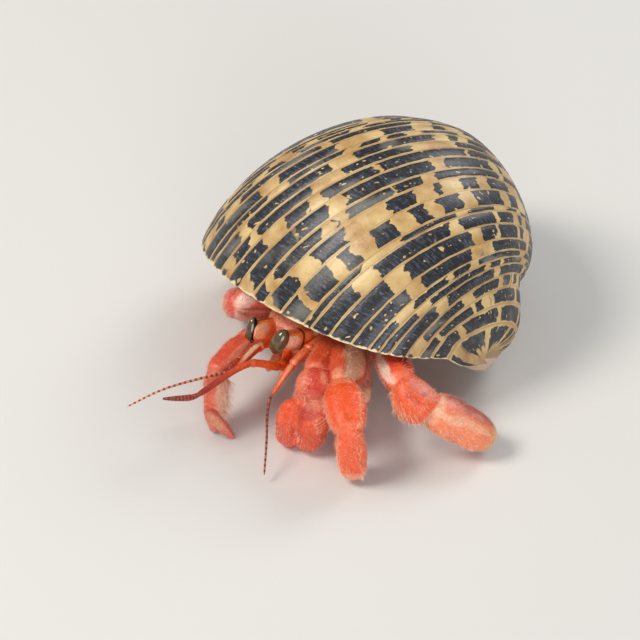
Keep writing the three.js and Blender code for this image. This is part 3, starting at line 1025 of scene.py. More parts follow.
@dataclass
class Segment:
    """One segment of a limb or of the trunk: an oval loft with ridges, lumps and markings."""

    node: str
    start: Point
    end: Point
    wide: tuple[float, ...]
    tall: tuple[float, ...]
    twist: float = 0.0
    bow: Point = (0.0, 0.0, 0.0)
    color: str = CORAL
    rim: str = PINK  # colour of the far end's edge
    rim_share: float = 0.5
    patches: tuple[Patch, ...] = ()
    keels: tuple[Keel, ...] = ()
    fringes: tuple[Fringe, ...] = ()
    rasp: Rasp | None = None
    gloss: float = 0.0
    mottle: float = 0.25
    power: float = 2.3  # 2 for an oval section, more for a boxy one
    blunt: tuple[float, float] = (7.0, 9.0)
    lumps: float = 0.05
    tubercles: float = 3.0  # on a square millimetre
    tubercle: float = 0.06
    coat: float = 2.0  # bristles on a square millimetre all over
    bristle: float = 0.3
    rings: int = 64
    sides: int = 56

    @property
    def length(self) -> float:
        """Its length between the joints, in millimetres."""
        return float(np.linalg.norm(np.array(self.end) - np.array(self.start)))

    @property
    def size(self) -> float:
        """Its mean half width in millimetres."""
        return sum(self.wide) / len(self.wide)

    def axes(self) -> tuple[Array, Array, Array]:
        """Work out the segment's own directions.

        Returns:
            Unit directions across, over and along it.
        """
        along = (np.array(self.end) - np.array(self.start)) / self.length
        across = np.cross((0, 0, 1), along)
        across /= np.linalg.norm(across)
        over = np.cross(along, across)
        turned = across * math.cos(self.twist) + over * math.sin(self.twist)
        return turned, np.cross(along, turned), along

    @staticmethod
    def through(values: tuple[float, ...], t: Array) -> Array:
        """Pass smoothly through a list of values.

        Args:
            values: The values, evenly spaced along the segment.
            t: Place along the segment.

        Returns:
            The value at each place.
        """
        place = np.clip(t, 0, 1) * (len(values) - 1)
        i = np.minimum(place.astype(int), len(values) - 2)
        f = place - i
        f = f * f * f * (f * (6 * f - 15) + 10)
        table = np.array(values)
        return table[i] * (1 - f) + table[i + 1] * f

    def grid(self) -> tuple[Array, Array]:
        """Lay the grid of vertices, closer together towards both ends.

        Returns:
            The grid's place along the segment and angle round it.
        """
        theta = np.arange(self.sides) * math.tau / self.sides
        return np.meshgrid(spread(self.rings, 0.35), theta, indexing="ij")

    def loft(self, t: Array, theta: Array, bumps: Array) -> Array:
        """Place the grid of vertices.

        Args:
            t: Place along the segment.
            theta: Angle round it.
            bumps: The tubercles' height, from 0 to 1.

        Returns:
            The points.
        """
        power = np.where(t < 0.5, *self.blunt)
        end = (1 - np.abs(2 * t - 1) ** power) ** (1 / END_POWER)
        width = (self.through(self.wide, t) - COAT_DEPTH) * end
        height = (self.through(self.tall, t) - COAT_DEPTH) * end
        c, s = np.cos(theta), np.sin(theta)
        lift = self.relief(t, theta, bumps) * end
        slope = np.hypot(c / width, s / height)
        x = width * np.sign(c) * np.abs(c) ** (2 / self.power) + lift * c / width / slope
        y = height * np.sign(s) * np.abs(s) ** (2 / self.power) + lift * s / height / slope
        across, over, along = self.axes()
        reach = self.length + 2 * OVERLAP
        centre = np.array(self.start) - along * OVERLAP + t[..., None] * reach * along
        centre = centre + 4 * (t * (1 - t))[..., None] * np.array(self.bow)
        points = centre + x[..., None] * across + y[..., None] * over
        points[..., 2] = np.maximum(points[..., 2], 0)  # it stands flat on the ground
        return points

    def rolled(self, t: Array, theta: Array) -> tuple[Array, Array, Array]:
        """Give places on the segment as on a round rod of its size, in millimetres."""
        return np.cos(theta) * self.size, np.sin(theta) * self.size, t * self.length

    def relief(self, t: Array, theta: Array, bumps: Array) -> Array:
        """Add up ridges, lumps and tubercles.

        Args:
            t: Place along the segment.
            theta: Angle round it.
            bumps: The tubercles' height, from 0 to 1.

        Returns:
            Heights in millimetres.
        """
        lift = np.zeros_like(t)
        for keel in self.keels:
            off = degrees_from(keel.angle, theta)
            begun = smoothstep(t, keel.start, keel.start + KEEL_FADE)
            over = smoothstep(t, keel.end - KEEL_FADE, keel.end)
            lift += keel.lift * np.exp(-((off / keel.spread) ** 2)) * (begun * (1 - over))
        lift += self.lumps * self.cloud(self.rolled(t, theta), 0.9)
        if self.rasp:
            lift += self.rasp.lift * self.rasp.crests(t, theta, self.length)
        return lift + self.tubercle * bumps

    def cloud(self, place: Sequence[Array], scale: float) -> Array:
        """Give soft noise from -1 to 1, its own for each segment.

        Args:
            place: The three coordinates in millimetres.
            scale: Waves on each millimetre.

        Returns:
            The noise at each place.
        """
        seed = 7.3 * (sum(map(ord, self.node)) % 97)
        spots = np.stack([np.ravel(c) * scale + seed for c in place], axis=-1)
        values = np.array([noise.noise(spot) for spot in spots])
        return values.reshape(place[0].shape)

    def bumps(self, t: Array, theta: Array) -> Array:
        """Scatter round tubercles.

        Args:
            t: Place along the segment.
            theta: Angle round it.

        Returns:
            Their height, from 0 between them to 1 on top.
        """
        random = np.random.default_rng(sum(map(ord, self.node)))
        count = int(self.tubercles * self.length * math.tau * self.size)
        spots = random.random((count, 3)) * (1, math.tau, 1)
        height = np.zeros_like(t)
        for spot_t, spot_angle, scale in spots:
            around = (theta - spot_angle + math.pi) % math.tau - math.pi
            radius = 0.07 + 0.05 * scale
            far = ((t - spot_t) * self.length) ** 2 + (around * self.size) ** 2
            height = np.maximum(height, np.exp(-far / (2 * radius * radius)) * (0.5 + 0.5 * scale))
        return height

    def paint(self, t: Array, theta: Array, bumps: Array) -> Array:
        """Colour the grid.

        Args:
            t: Place along the segment.
            theta: Angle round it.
            bumps: The tubercles' height, from 0 to 1.

        Returns:
            Linear red, green, blue and 1 for each vertex.
        """
        place = self.rolled(t, theta)
        wobble = self.cloud(place, 1.1)
        wave = self.cloud([c + 31 for c in place], 2.3)
        color = np.array(linear(self.color))
        color = mix_in(color, BLOOD, 0.7 * self.mottle * smoothstep(wave, 0.0, 0.6))
        color = mix_in(color, PINK, 0.7 * self.mottle * smoothstep(-wave, 0.05, 0.6))
        for patch in self.patches:
            far = patch.far(t, theta) + 0.28 * wobble + 0.12 * wave
            color = mix_in(color, patch.color, patch.share * (1 - smoothstep(far, 0.7, 1.15)))
        color = mix_in(color, self.rim, 0.6 * self.rim_share * smoothstep(t + 0.03 * wave, 0.9, 0.97))
        color = mix_in(color, PINK, 0.3 * smoothstep(bumps, 0.45, 0.8))
        if self.rasp:
            color = mix_in(color, PINK, 0.8 * self.rasp.crests(t, theta, self.length))
        return color

    def hair(self, t: Array, theta: Array) -> Array:
        """Lay out the bristles and the gloss.

        Args:
            t: Place along the segment.
            theta: Angle round it.

        Returns:
            Bristles on a square millimetre, their length in millimetres, and the gloss.
        """
        ends = smoothstep(t, 0.05, 0.12) * (1 - smoothstep(t, 0.93, 0.97))
        density = self.coat * ends
        length = np.full_like(t, self.bristle)
        for fringe in self.fringes:
            off = np.abs(degrees_from(fringe.angle, theta))
            inside = (off < fringe.spread) & (t > fringe.start) & (t < fringe.end)
            density = np.where(inside, fringe.density, density)
            length = np.where(inside, fringe.length, length)
        return np.stack([density, length, np.full_like(t, self.gloss)], axis=-1)

    def build(self, cell: int) -> Object:
        """Build the segment as one closed solid.

        Args:
            cell: Its place in the skin's unwrap.

        Returns:
            Its object, with the skin's attributes on its corners.
        """
        t, theta = self.grid()
        bumps = self.bumps(t, theta)
        points = self.loft(t, theta, bumps)
        hair = self.hair(t, theta)
        hair[..., 0] *= points[..., 2] > BARE_BELOW
        lie = np.broadcast_to(self.axes()[2], points.shape)
        return tube_object(self.node, points, self.paint(t, theta, bumps), hair, lie, cell)


def tube_object(name: str, points: Array, color: Array, hair: Array, lie: Array, cell: int) -> Object:
    """Close a grid of vertices into a solid that carries the skin's attributes.

    Args:
        name: The object's name.
        points: Points by ring and by place round it.
        color: Each point's linear colour.
        hair: Each point's bristle density and length, and its gloss.
        lie: The direction that each point's bristles lean in.
        cell: The tube's place in the skin's unwrap.

    Returns:
        The object.
    """
    rings, sides = points.shape[:2]
    flat, faces = close_tube(points)

    def on_corners(values: Array) -> Array:
        """Spread the grid's values to the corners of the faces."""
        wide = values.reshape(rings * sides, -1)
        wide = np.concatenate([wide, wide[:1], wide[-1:]])
        return wide[[corner for face in faces for corner in face]]

    # The unwrap lays the tube flat in its own cell of the atlas.
    column, row = cell % ATLAS, cell // ATLAS
    ring, side = np.meshgrid(np.arange(rings), np.arange(sides), indexing="ij")
    quads = [np.stack([side[:-1] + a, ring[:-1] + b], axis=-1) for a, b in ((0, 0), (1, 0), (1, 1), (0, 1))]
    spots = np.stack(quads, axis=2).reshape(-1, 2) / (sides, rings - 1)
    fan = ((0.5, 0), (1, 0), (0, 0), (0.5, 1), (0, 1), (1, 1))
    caps = [(j + across, end) for j in range(sides) for across, end in fan]
    spots = np.concatenate([spots, np.array(caps) / (sides, 1)])
    unwrap = (np.array([column, row]) + CELL_MARGIN + (1 - 2 * CELL_MARGIN) * spots) / ATLAS
    unwrap = np.column_stack([unwrap, np.zeros(len(unwrap))])
    attributes = {
        "Tint": ("CORNER", on_corners(color)),
        "Hair": ("CORNER", on_corners(hair)),
        "Lie": ("CORNER", on_corners(lie)),
        "Unwrap": ("CORNER", unwrap),
    }
    obj = make_object(name, flat, faces, attributes)
    turn_outward(obj)
    return obj


@dataclass
class Feeler:
    """A jointed tube along a smooth path."""

    node: str
    path: tuple[Point, ...]
    radii: tuple[float, ...]
    color: str = ORANGE
    tip: str = ORANGE
    joints: tuple[float, ...] = ()  # where articles meet
    patches: tuple[Patch, ...] = ()
    beads: int = 0
    bead: str = "#5a1a0e"  # colour of every other bead
    gloss: float = 0.8
    rings: int = 72
    sides: int = 20
    knots: int = 400  # points of its middle line

    def line(self, count: int) -> tuple[Array, Array]:
        """Run evenly along the path's centripetal Catmull-Rom curve.

        Args:
            count: How many points.

        Returns:
            Points and unit directions.
        """
        knots = np.array(self.path, float)
        knots = np.vstack([2 * knots[0] - knots[1], knots, 2 * knots[-1] - knots[-2]])
        fine = []
        for i in range(1, len(knots) - 2):
            a, b, c, d = knots[i - 1 : i + 3]
            times = np.cumsum([0.0, *(math.sqrt(np.linalg.norm(q - p)) for p, q in ((a, b), (b, c), (c, d)))])
            x = np.linspace(times[1], times[2], 60)[:, None]

            def blend(p: Array, q: Array, first: float, last: float, x: Array = x) -> Array:
                """Mix two points by their knots' times."""
                return p * (last - x) / (last - first) + q * (x - first) / (last - first)

            ab, bc, cd = blend(a, b, *times[0:2]), blend(b, c, *times[1:3]), blend(c, d, *times[2:4])
            abc, bcd = blend(ab, bc, times[0], times[2]), blend(bc, cd, times[1], times[3])
            fine.append(blend(abc, bcd, times[1], times[2])[(0 if i == 1 else 1) :])
        fine = np.vstack(fine)
        far = np.concatenate([[0], np.cumsum(np.linalg.norm(np.diff(fine, axis=0), axis=1))])
        want = np.linspace(0, far[-1], count)
        points = interpolate(want, far, fine)
        ways = np.gradient(points, axis=0)
        return points, ways / np.linalg.norm(ways, axis=1, keepdims=True)

    def radius(self, t: Array) -> Array:
        """Give the radius along the tube, pinched at its joints and closed at its ends.

        Args:
            t: Place along the tube.

        Returns:
            Radii in millimetres.
        """
        radius = np.interp(t, np.linspace(0, 1, len(self.radii)), self.radii)
        for joint in self.joints:
            radius = radius * (1 + 0.2 * np.exp(-(((t - joint + 0.02) / 0.02) ** 2)))
            radius = radius * (1 - 0.35 * np.exp(-(((t - joint - 0.008) / 0.009) ** 2)))
        if self.beads:
            radius = radius * (1 - 0.3 * np.abs(np.cos(math.pi * self.beads * t)) ** 6)
        return radius * (1 - np.abs(2 * t - 1) ** 24) ** 0.5

    def tube(self) -> tuple[Array, Array, Array, Array]:
        """Place the tube's grid of vertices.

        Returns:
            The points, their places along the tube, their angles round it, and its directions.
        """
        t = spread(self.rings, 1.0 if self.beads else 0.5)
        points, ways = self.line(self.knots)
        fine = np.linspace(0, 1, self.knots)
        centre, way = interpolate(t, fine, points), interpolate(t, fine, ways)
        across = np.cross((0, 0, 1), way)
        across /= np.linalg.norm(across, axis=1, keepdims=True)
        over = np.cross(way, across)
        theta = np.arange(self.sides) * math.tau / self.sides
        t, theta = np.meshgrid(t, theta, indexing="ij")
        radius = self.radius(t)[..., None]
        around = np.cos(theta)[..., None] * across[:, None] + np.sin(theta)[..., None] * over[:, None]
        return centre[:, None] + radius * around, t, theta, np.broadcast_to(way[:, None], around.shape)

    def build(self, cell: int) -> Object:
        """Build the feeler as one closed solid.

        Args:
            cell: Its place in the skin's unwrap.

        Returns:
            Its object, with the skin's attributes on its corners.
        """
        points, t, theta, way = self.tube()
        color = mix_in(np.array(linear(self.color)), self.tip, smoothstep(t, 0.3, 1))
        for patch in self.patches:
            color = mix_in(color, patch.color, patch.share * (1 - smoothstep(patch.far(t, theta), 0.6, 1.2)))
        if self.beads:
            dark = smoothstep(np.cos(math.pi * (self.beads * t - 0.5)), -0.3, 0.3)
            color = mix_in(color, self.bead, dark)
        hair = np.stack([0 * t, 0 * t, np.full_like(t, self.gloss)], axis=-1)
        return tube_object(self.node, points, color, hair, way, cell)


@dataclass(frozen=True)
class CuticleFinish:
    """Thin, slightly see-through cuticle over red flesh: waxy gloss that its fine grain breaks up."""

    ior: float = 1.54
    roughness: float = 0.4
    scatter: float = 0.07
    grain: float = 0.24  # millimetres across
    grain_height: float = 0.06  # millimetres
    wet: float = 0.16  # roughness of the glossiest skin
    # Granule tops are lightened as painted highlights, and the hollows between them are darkened as painted
    # shade.
    granule_highlight: str = "#ffb48c"
    hollow_shade: str = "#9c2410"

    def material(self) -> Material:
        """Build the material, which takes its colours from the skin's Tint attribute."""
        material, g, shader = start_material("crab_cuticle")
        tint = g.add("Attribute", out="Color", attribute_name="Tint")
        place = g.add("TexCoord", out="Object")
        scale = 1 / (self.grain * MM)
        grains = {"Vector": place, "Scale": scale, "Randomness": 1.0}
        cells = g.add("TexVoronoi", grains, "Distance")
        fine = g.add("TexNoise", {"Vector": place, "Scale": scale * 1.4, "Detail": 3.0})
        broad = g.add("TexNoise", {"Vector": place, "Scale": scale * 0.22, "Detail": 4.0})
        # Painted highlight on the granules' tops, in patches, and painted shade in the hollows between them.
        top = g.add("MapRange", [cells, 0.32, 0.1, 0.0, 0.28])
        patchy = g.add("MapRange", [broad, 0.42, 0.6])
        top = g.add("Math", [top, patchy], operation="MULTIPLY")
        low = g.add("MapRange", [cells, 0.42, 0.62, 0.0, 0.2])
        color = tint
        for share, layer in ((top, self.granule_highlight), (low, self.hollow_shade)):
            color = g.add("Mix", {0: share, 6: color, 7: linear(layer)}, 2, data_type="RGBA")
        height = g.add("Math", [cells, -0.6, fine], operation="MULTIPLY_ADD")
        relief = {"Height": height, "Distance": self.grain_height * MM, "Strength": 1.0}
        normal = g.add("Bump", relief)
        hair = g.add("Attribute", out="Vector", attribute_name="Hair")
        gloss = g.add("SeparateXYZ", [hair], 2)
        rough = g.add("MapRange", [gloss, 0.0, 1.0, self.roughness, self.wet])
        values = {"Base Color": color, "Normal": normal, "IOR": self.ior, "Roughness": rough}
        values |= {"Subsurface Weight": self.scatter, "Subsurface Radius": (0.6, 0.2, 0.1)}
        values |= {"Subsurface Scale": 1.0 * MM, "Coat Weight": 0.15, "Coat Roughness": 0.3}
        g.feed(shader, values)
        return material


@dataclass(frozen=True)
class SetaeFinish:
    """Bristles of clear chitin, which look whitish with a little of the skin's colour at the root."""

    pale: str = "#f1dcc3"
    share: float = 0.65
    roughness: float = 0.45
    ior: float = 1.56

    def material(self) -> Material:
        """Build the material, which takes the skin's colour from the Tint attribute."""
        material, g, shader = start_material("setae_chitin")
        tint = g.add("Attribute", out="Color", attribute_name="Tint")
        color = g.add("Mix", {0: self.share, 6: tint, 7: linear(self.pale)}, 2, data_type="RGBA")
        g.feed(shader, {"Base Color": color, "Roughness": self.roughness, "IOR": self.ior})
        return material


@dataclass(frozen=True)
class Coat:
    """Bristles that a node group scatters over the skin and leans along each limb."""

    name: str
    seed: int
    thick: float  # radius at the root
    longest: float  # bristles are cut to this
    most: float  # their density is cut to this, then multiplied by `dense`
    dense: float
    steps: int  # faces along a bristle's side
    bend: float  # how far it bows over, in root radii
    lean: float = 0.75
    mess: float = 0.4
    short: float = 0.55  # the shortest bristle against the length that the skin asks for
    tall: float = 1.25  # the longest one
    bake_patch: float = 0.003  # each bristle's share of the skin's unwrap
    finish: SetaeFinish = field(default_factory=SetaeFinish)

    def group(self, material: Material) -> NodeTree:
        """Build the node group that turns a skin into its bristles.

        Args:
            material: The bristles' material.

        Returns:
            The group, with named inputs for its numbers.
        """
        group = bpy.data.node_groups.new("setae", "GeometryNodeTree")
        sockets = group.interface
        sockets.new_socket("Skin", in_out="INPUT", socket_type="NodeSocketGeometry")
        for title, kind, value in (
            ("Seed", "NodeSocketInt", self.seed),
            ("Root radius", "NodeSocketFloat", self.thick * MM),
            ("Longest", "NodeSocketFloat", self.longest),
            ("Most", "NodeSocketFloat", self.most),
            ("Dense", "NodeSocketFloat", self.dense),
            ("Lean", "NodeSocketFloat", self.lean),
            ("Mess", "NodeSocketFloat", self.mess),
        ):
            sockets.new_socket(title, in_out="INPUT", socket_type=kind).default_value = value
        sockets.new_socket("Setae", in_out="OUTPUT", socket_type="NodeSocketGeometry")
        g = Graph(group)
        start = group.nodes.new("NodeGroupInput").outputs
        hair = g.add("GeometryNodeInputNamedAttribute", {"Name": "Hair"}, data_type="FLOAT_VECTOR")
        density, length, _ = g.add("SeparateXYZ", [hair]).node.outputs
        length = g.add("Math", [length, start["Longest"]], operation="MINIMUM")
        density = g.add("Math", [density, start["Most"]], operation="MINIMUM")
        density = g.add("Math", [density, start["Dense"]], operation="MULTIPLY")
        per_metre = g.add("Math", [density, MM**-2], operation="MULTIPLY")
        scatter = g.add(
            "GeometryNodeDistributePointsOnFaces",
            {"Mesh": start["Skin"], "Density": per_metre, "Seed": start["Seed"]},
            distribute_method="RANDOM",
        ).node
        points, normal = scatter.outputs["Points"], scatter.outputs["Normal"]

        # One bristle: a thin cone that bends over, with its own unwrap.
        sizes = {"Side Segments": self.steps, "Radius Top": 0.0, "Radius Bottom": 1.0, "Depth": 1.0}
        cone = g.add("GeometryNodeMeshCone", {"Vertices": 3} | sizes, fill_type="NGON").node
        local = g.add(
            "GeometryNodeStoreNamedAttribute",
            {"Geometry": cone.outputs["Mesh"], "Name": "Local", "Value": cone.outputs["UV Map"]},
            data_type="FLOAT2",
            domain="CORNER",
        )
        spot = g.add("GeometryNodeInputPosition")
        _, _, up = g.add("SeparateXYZ", [spot]).node.outputs
        bend = g.add("Math", [up, up], operation="MULTIPLY")
        bend = g.add("Math", [bend, self.bend], operation="MULTIPLY")
        bend = g.add("CombineXYZ", [bend, 0.0, 0.0])
        bent = g.add("GeometryNodeSetPosition", {"Geometry": local, "Offset": bend})

        # It leans from the skin's normal towards the limb's tip.
        lie = g.add("GeometryNodeInputNamedAttribute", {"Name": "Lie"}, data_type="FLOAT_VECTOR")
        pull = g.add("VectorMath", {0: lie, "Scale": start["Lean"]}, operation="SCALE")
        cube = {"Min": (-1, -1, -1), "Max": (1, 1, 1)}
        stray = g.add("FunctionNodeRandomValue", cube, data_type="FLOAT_VECTOR")
        stray = g.add("VectorMath", {0: stray, "Scale": start["Mess"]}, operation="SCALE")
        way = g.add("VectorMath", [normal, pull], operation="ADD")
        way = g.add("VectorMath", [way, stray], operation="ADD")
        turn = g.add("FunctionNodeAlignRotationToVector", {"Vector": way}, axis="Z")
        change = g.add("FunctionNodeRandomValue", {2: self.short, 3: self.tall}, 1, data_type="FLOAT")
        tall = g.add("Math", [length, change], operation="MULTIPLY")
        tall = g.add("Math", [tall, MM], operation="MULTIPLY")
        size = g.add("CombineXYZ", [start["Root radius"], start["Root radius"], tall])
        cones = {"Points": points, "Instance": bent, "Rotation": turn, "Scale": size}
        placed = g.add("GeometryNodeInstanceOnPoints", cones)
        real = g.add("GeometryNodeRealizeInstances", {"Geometry": placed})

        # Each bristle takes a small patch of the skin's unwrap round its root.
        root = g.add("GeometryNodeInputNamedAttribute", {"Name": "Unwrap"}, data_type="FLOAT_VECTOR")
        own = g.add("GeometryNodeInputNamedAttribute", {"Name": "Local"}, data_type="FLOAT_VECTOR")
        own = g.add("VectorMath", {0: own, "Scale": self.bake_patch}, operation="SCALE")
        bake = g.add("VectorMath", [root, own], operation="ADD")
        out = g.add(
            "GeometryNodeStoreNamedAttribute",
            {"Geometry": real, "Name": "OFBake", "Value": bake},
            data_type="FLOAT2",
            domain="CORNER",
        )
        for spare in ("Local", "Unwrap", "Hair", "Lie"):
            out = g.add("GeometryNodeRemoveAttribute", {"Geometry": out, "Name": spare})
        out = g.add("GeometryNodeSetMaterial", {"Geometry": out, "Material": material})
        end = group.nodes.new("NodeGroupOutput")
        group.links.new(out, end.inputs[0])
        return group

    def grow(self, skin: Object, slot: Slot, nodes: Sequence[str]) -> None:
        """Grow the coat from a skin as a piece of its own.

        Args:
            skin: The skin, whose Hair attribute says where and how long.
            slot: The record's slot, which is not used.
            nodes: CAD nodes that the coat stands for with the skin.
        """
        material = self.finish.material()
        coat = add_object(self.name, skin.data.copy())
        modifier = coat.modifiers.new(self.name, "NODES")
        modifier.node_group = self.group(material)
        for item in modifier.node_group.interface.items_tree:
            if item.name == "Seed":
                modifier[item.identifier] = self.seed
        settle(coat)
        finish_piece(coat, material, nodes)


@dataclass(frozen=True)
class CorneaFinish:
    """A smooth clear cornea over brown facets: olive with fine upright stripes, black by the stalk."""

    olive: str = "#4e3d1f"
    stripe: str = "#705838"
    band: str = "#060504"
    stripes: float = 26.0  # radians of stripe waves in the eye's own radius
    roughness: float = 0.14
    coat_roughness: float = 0.04
    ior: float = 1.45

    def material(self) -> Material:
        """Build the material, which reads the eye's own EyePlace attribute."""
        material, g, shader = start_material("cornea")
        place = g.add("Attribute", out="Vector", attribute_name="EyePlace")
        side, back, _ = g.add("SeparateXYZ", [place]).node.outputs
        waves = g.add("Math", [side, self.stripes], operation="MULTIPLY")
        waves = g.add("Math", [waves], operation="SINE")
        waves = g.add("MapRange", [waves, -0.4, 1.0, 0.0, 0.55])
        color = {0: waves, 6: linear(self.olive), 7: linear(self.stripe)}
        color = g.add("Mix", color, 2, data_type="RGBA")
        dark = g.add("MapRange", [back, -0.03, 0.06])
        color = g.add("Mix", {0: dark, 6: color, 7: linear(self.band)}, 2, data_type="RGBA")
        values = {"Base Color": color, "Roughness": self.roughness, "IOR": self.ior}
        g.feed(shader, values | {"Coat Weight": 1.0, "Coat Roughness": self.coat_roughness})
        return material


EYE_SIDE = (0.766, 0.643, 0.0)  # level, towards the stalk's side of each eye


@dataclass
class Eye:
    """An upright oval cornea on the end of its stalk."""

    node: str
    centre: Point
    radii: Point
    tilt: float  # radians to the side
    band: float  # where the black band starts, in eye radii towards the stalk's side
    nod: float = -0.35  # radians forward
    rings: int = 40
    sides: int = 64

    def build(self, material: Material) -> None:
        """Build the cornea.

        Args:
            material: What it is made of.
        """
        down = np.arange(1, self.rings) * math.pi / self.rings
        down, round_it = np.meshgrid(down, np.arange(self.sides) * math.tau / self.sides, indexing="ij")
        level = np.sin(down)
        unit = np.stack([level * np.cos(round_it), level * np.sin(round_it), np.cos(down)], axis=-1)
        unit, faces = close_tube(unit)
        unit[-2:] = (0, 0, 1), (0, 0, -1)
        turn = np.array(Matrix.Rotation(self.nod, 3, "X") @ Matrix.Rotation(self.tilt, 3, "Y"))
        points = (unit * self.radii) @ turn.T + np.array(self.centre)
        side = unit @ np.array(EYE_SIDE)
        place = np.stack([side, side - self.band, unit[:, 2]], axis=-1)
        obj = make_object(f"cornea_{self.node}", points, faces, {"EyePlace": ("POINT", place)})
        turn_outward(obj)
        finish_piece(obj, material, [self.node])


STALK_WAY = np.array((-0.161, -0.913, 0.375)) / np.linalg.norm((-0.161, -0.913, 0.375))
RIGHT_EYE = (-4.53, -4.76, 7.25)
RIGHT_ANTENNULE = np.array((-0.75, 0.9, -0.99))  # from the left one


def stalk(node: str, eye: Point, patches: tuple[Patch, ...]) -> Segment:
    """Lay out an eyestalk behind its eye.

    Args:
        node: The stalk's name.
        eye: The middle of its cornea.
        patches: Its markings.

    Returns:
        The stalk's segment.
    """
    centre = np.array(eye)
    return Segment(
        node, tuple(centre - STALK_WAY * 3.6), tuple(centre - STALK_WAY * 0.25),
        (1.1, 0.95, 0.85), (1.35, 1.15, 1.1), color="#ff8446", rim="#e85422", rim_share=0.5,
        patches=patches, power=2.6, blunt=(5, 12), lumps=0.03, tubercles=0, gloss=0.9, mottle=0.12, coat=0,
    )


HEAD = (
    stalk(
        "eyestalk_left", LEFT_EYE,
        (
            # The pale patch is a painted highlight.
            Patch(0.72, 18, 0.25, 34, "#ffd0b0", 0.85), Patch(0.5, 80, 0.45, 18, "#c8401f", 0.6),
            # The thin near-black band is a painted shadow in the gap between the stalk and the shield.
            Patch(0.4, 30, 0.035, 120, "#2a0c08", 0.9),
        ),
    ),
    stalk(
        "eyestalk_right", RIGHT_EYE,
        (
            # The pale peach patch is the stalk's pale centre with a painted highlight on it.
            Patch(0.82, 25, 0.22, 55, "#ffbe90", 0.85), Patch(0.45, 20, 0.09, 60, "#ff7a3a", 0.8),
            Patch(0.6, 100, 0.5, 9, DRIED, 0.9),
        ),
    ),
    Segment(
        "carapace_shield", (-2.3, -2.0, 6.5), (-2.8, 5.6, 8.0), (2.9, 3.3, 3.4), (1.2, 1.3, 1.3),
        color="#ee9d80", patches=(Patch(0.2, 90, 0.3, 60, ORANGE, 0.4),), tubercles=0.3, gloss=0.4,
    ),
    Segment(
        "thorax", (-2.3, -1.6, 4.0), (-2.8, 8.6, 5.6), (2.4, 3.6, 3.4), (1.5, 2.0, 2.2),
        color=PINK, patches=(Patch(0.15, 90, 0.25, 200, ROSE, 0.6),), tubercles=0.2,
    ),
    *(
        Segment(
            f"maxilliped_{hand}", (x, -1.2, 3.6), (x - 0.05, -3.5, 2.7), (0.5, 0.6, 0.4), (0.7, 0.8, 0.4),
            color=PEACH, coat=8, bristle=0.4, rings=32, sides=24,
        )
        for hand, x in (("left", -1.6), ("right", -3.2))
    ),
)


def limb(name: str, joints: Sequence[Point], **parts: dict[str, object]) -> list[Segment]:
    """Lay out a limb's segments from joint to joint.

    Args:
        name: The limb's name, which starts its segments' names.
        joints: Where the segments start and end, one more than there are segments.
        **parts: Each segment's name to its other fields, in order.

    Returns:
        The segments.
    """
    ends = zip(parts.items(), joints[:-1], joints[1:], strict=True)
    return [Segment(f"{name}_{part}", start, end, **looks) for (part, looks), start, end in ends]


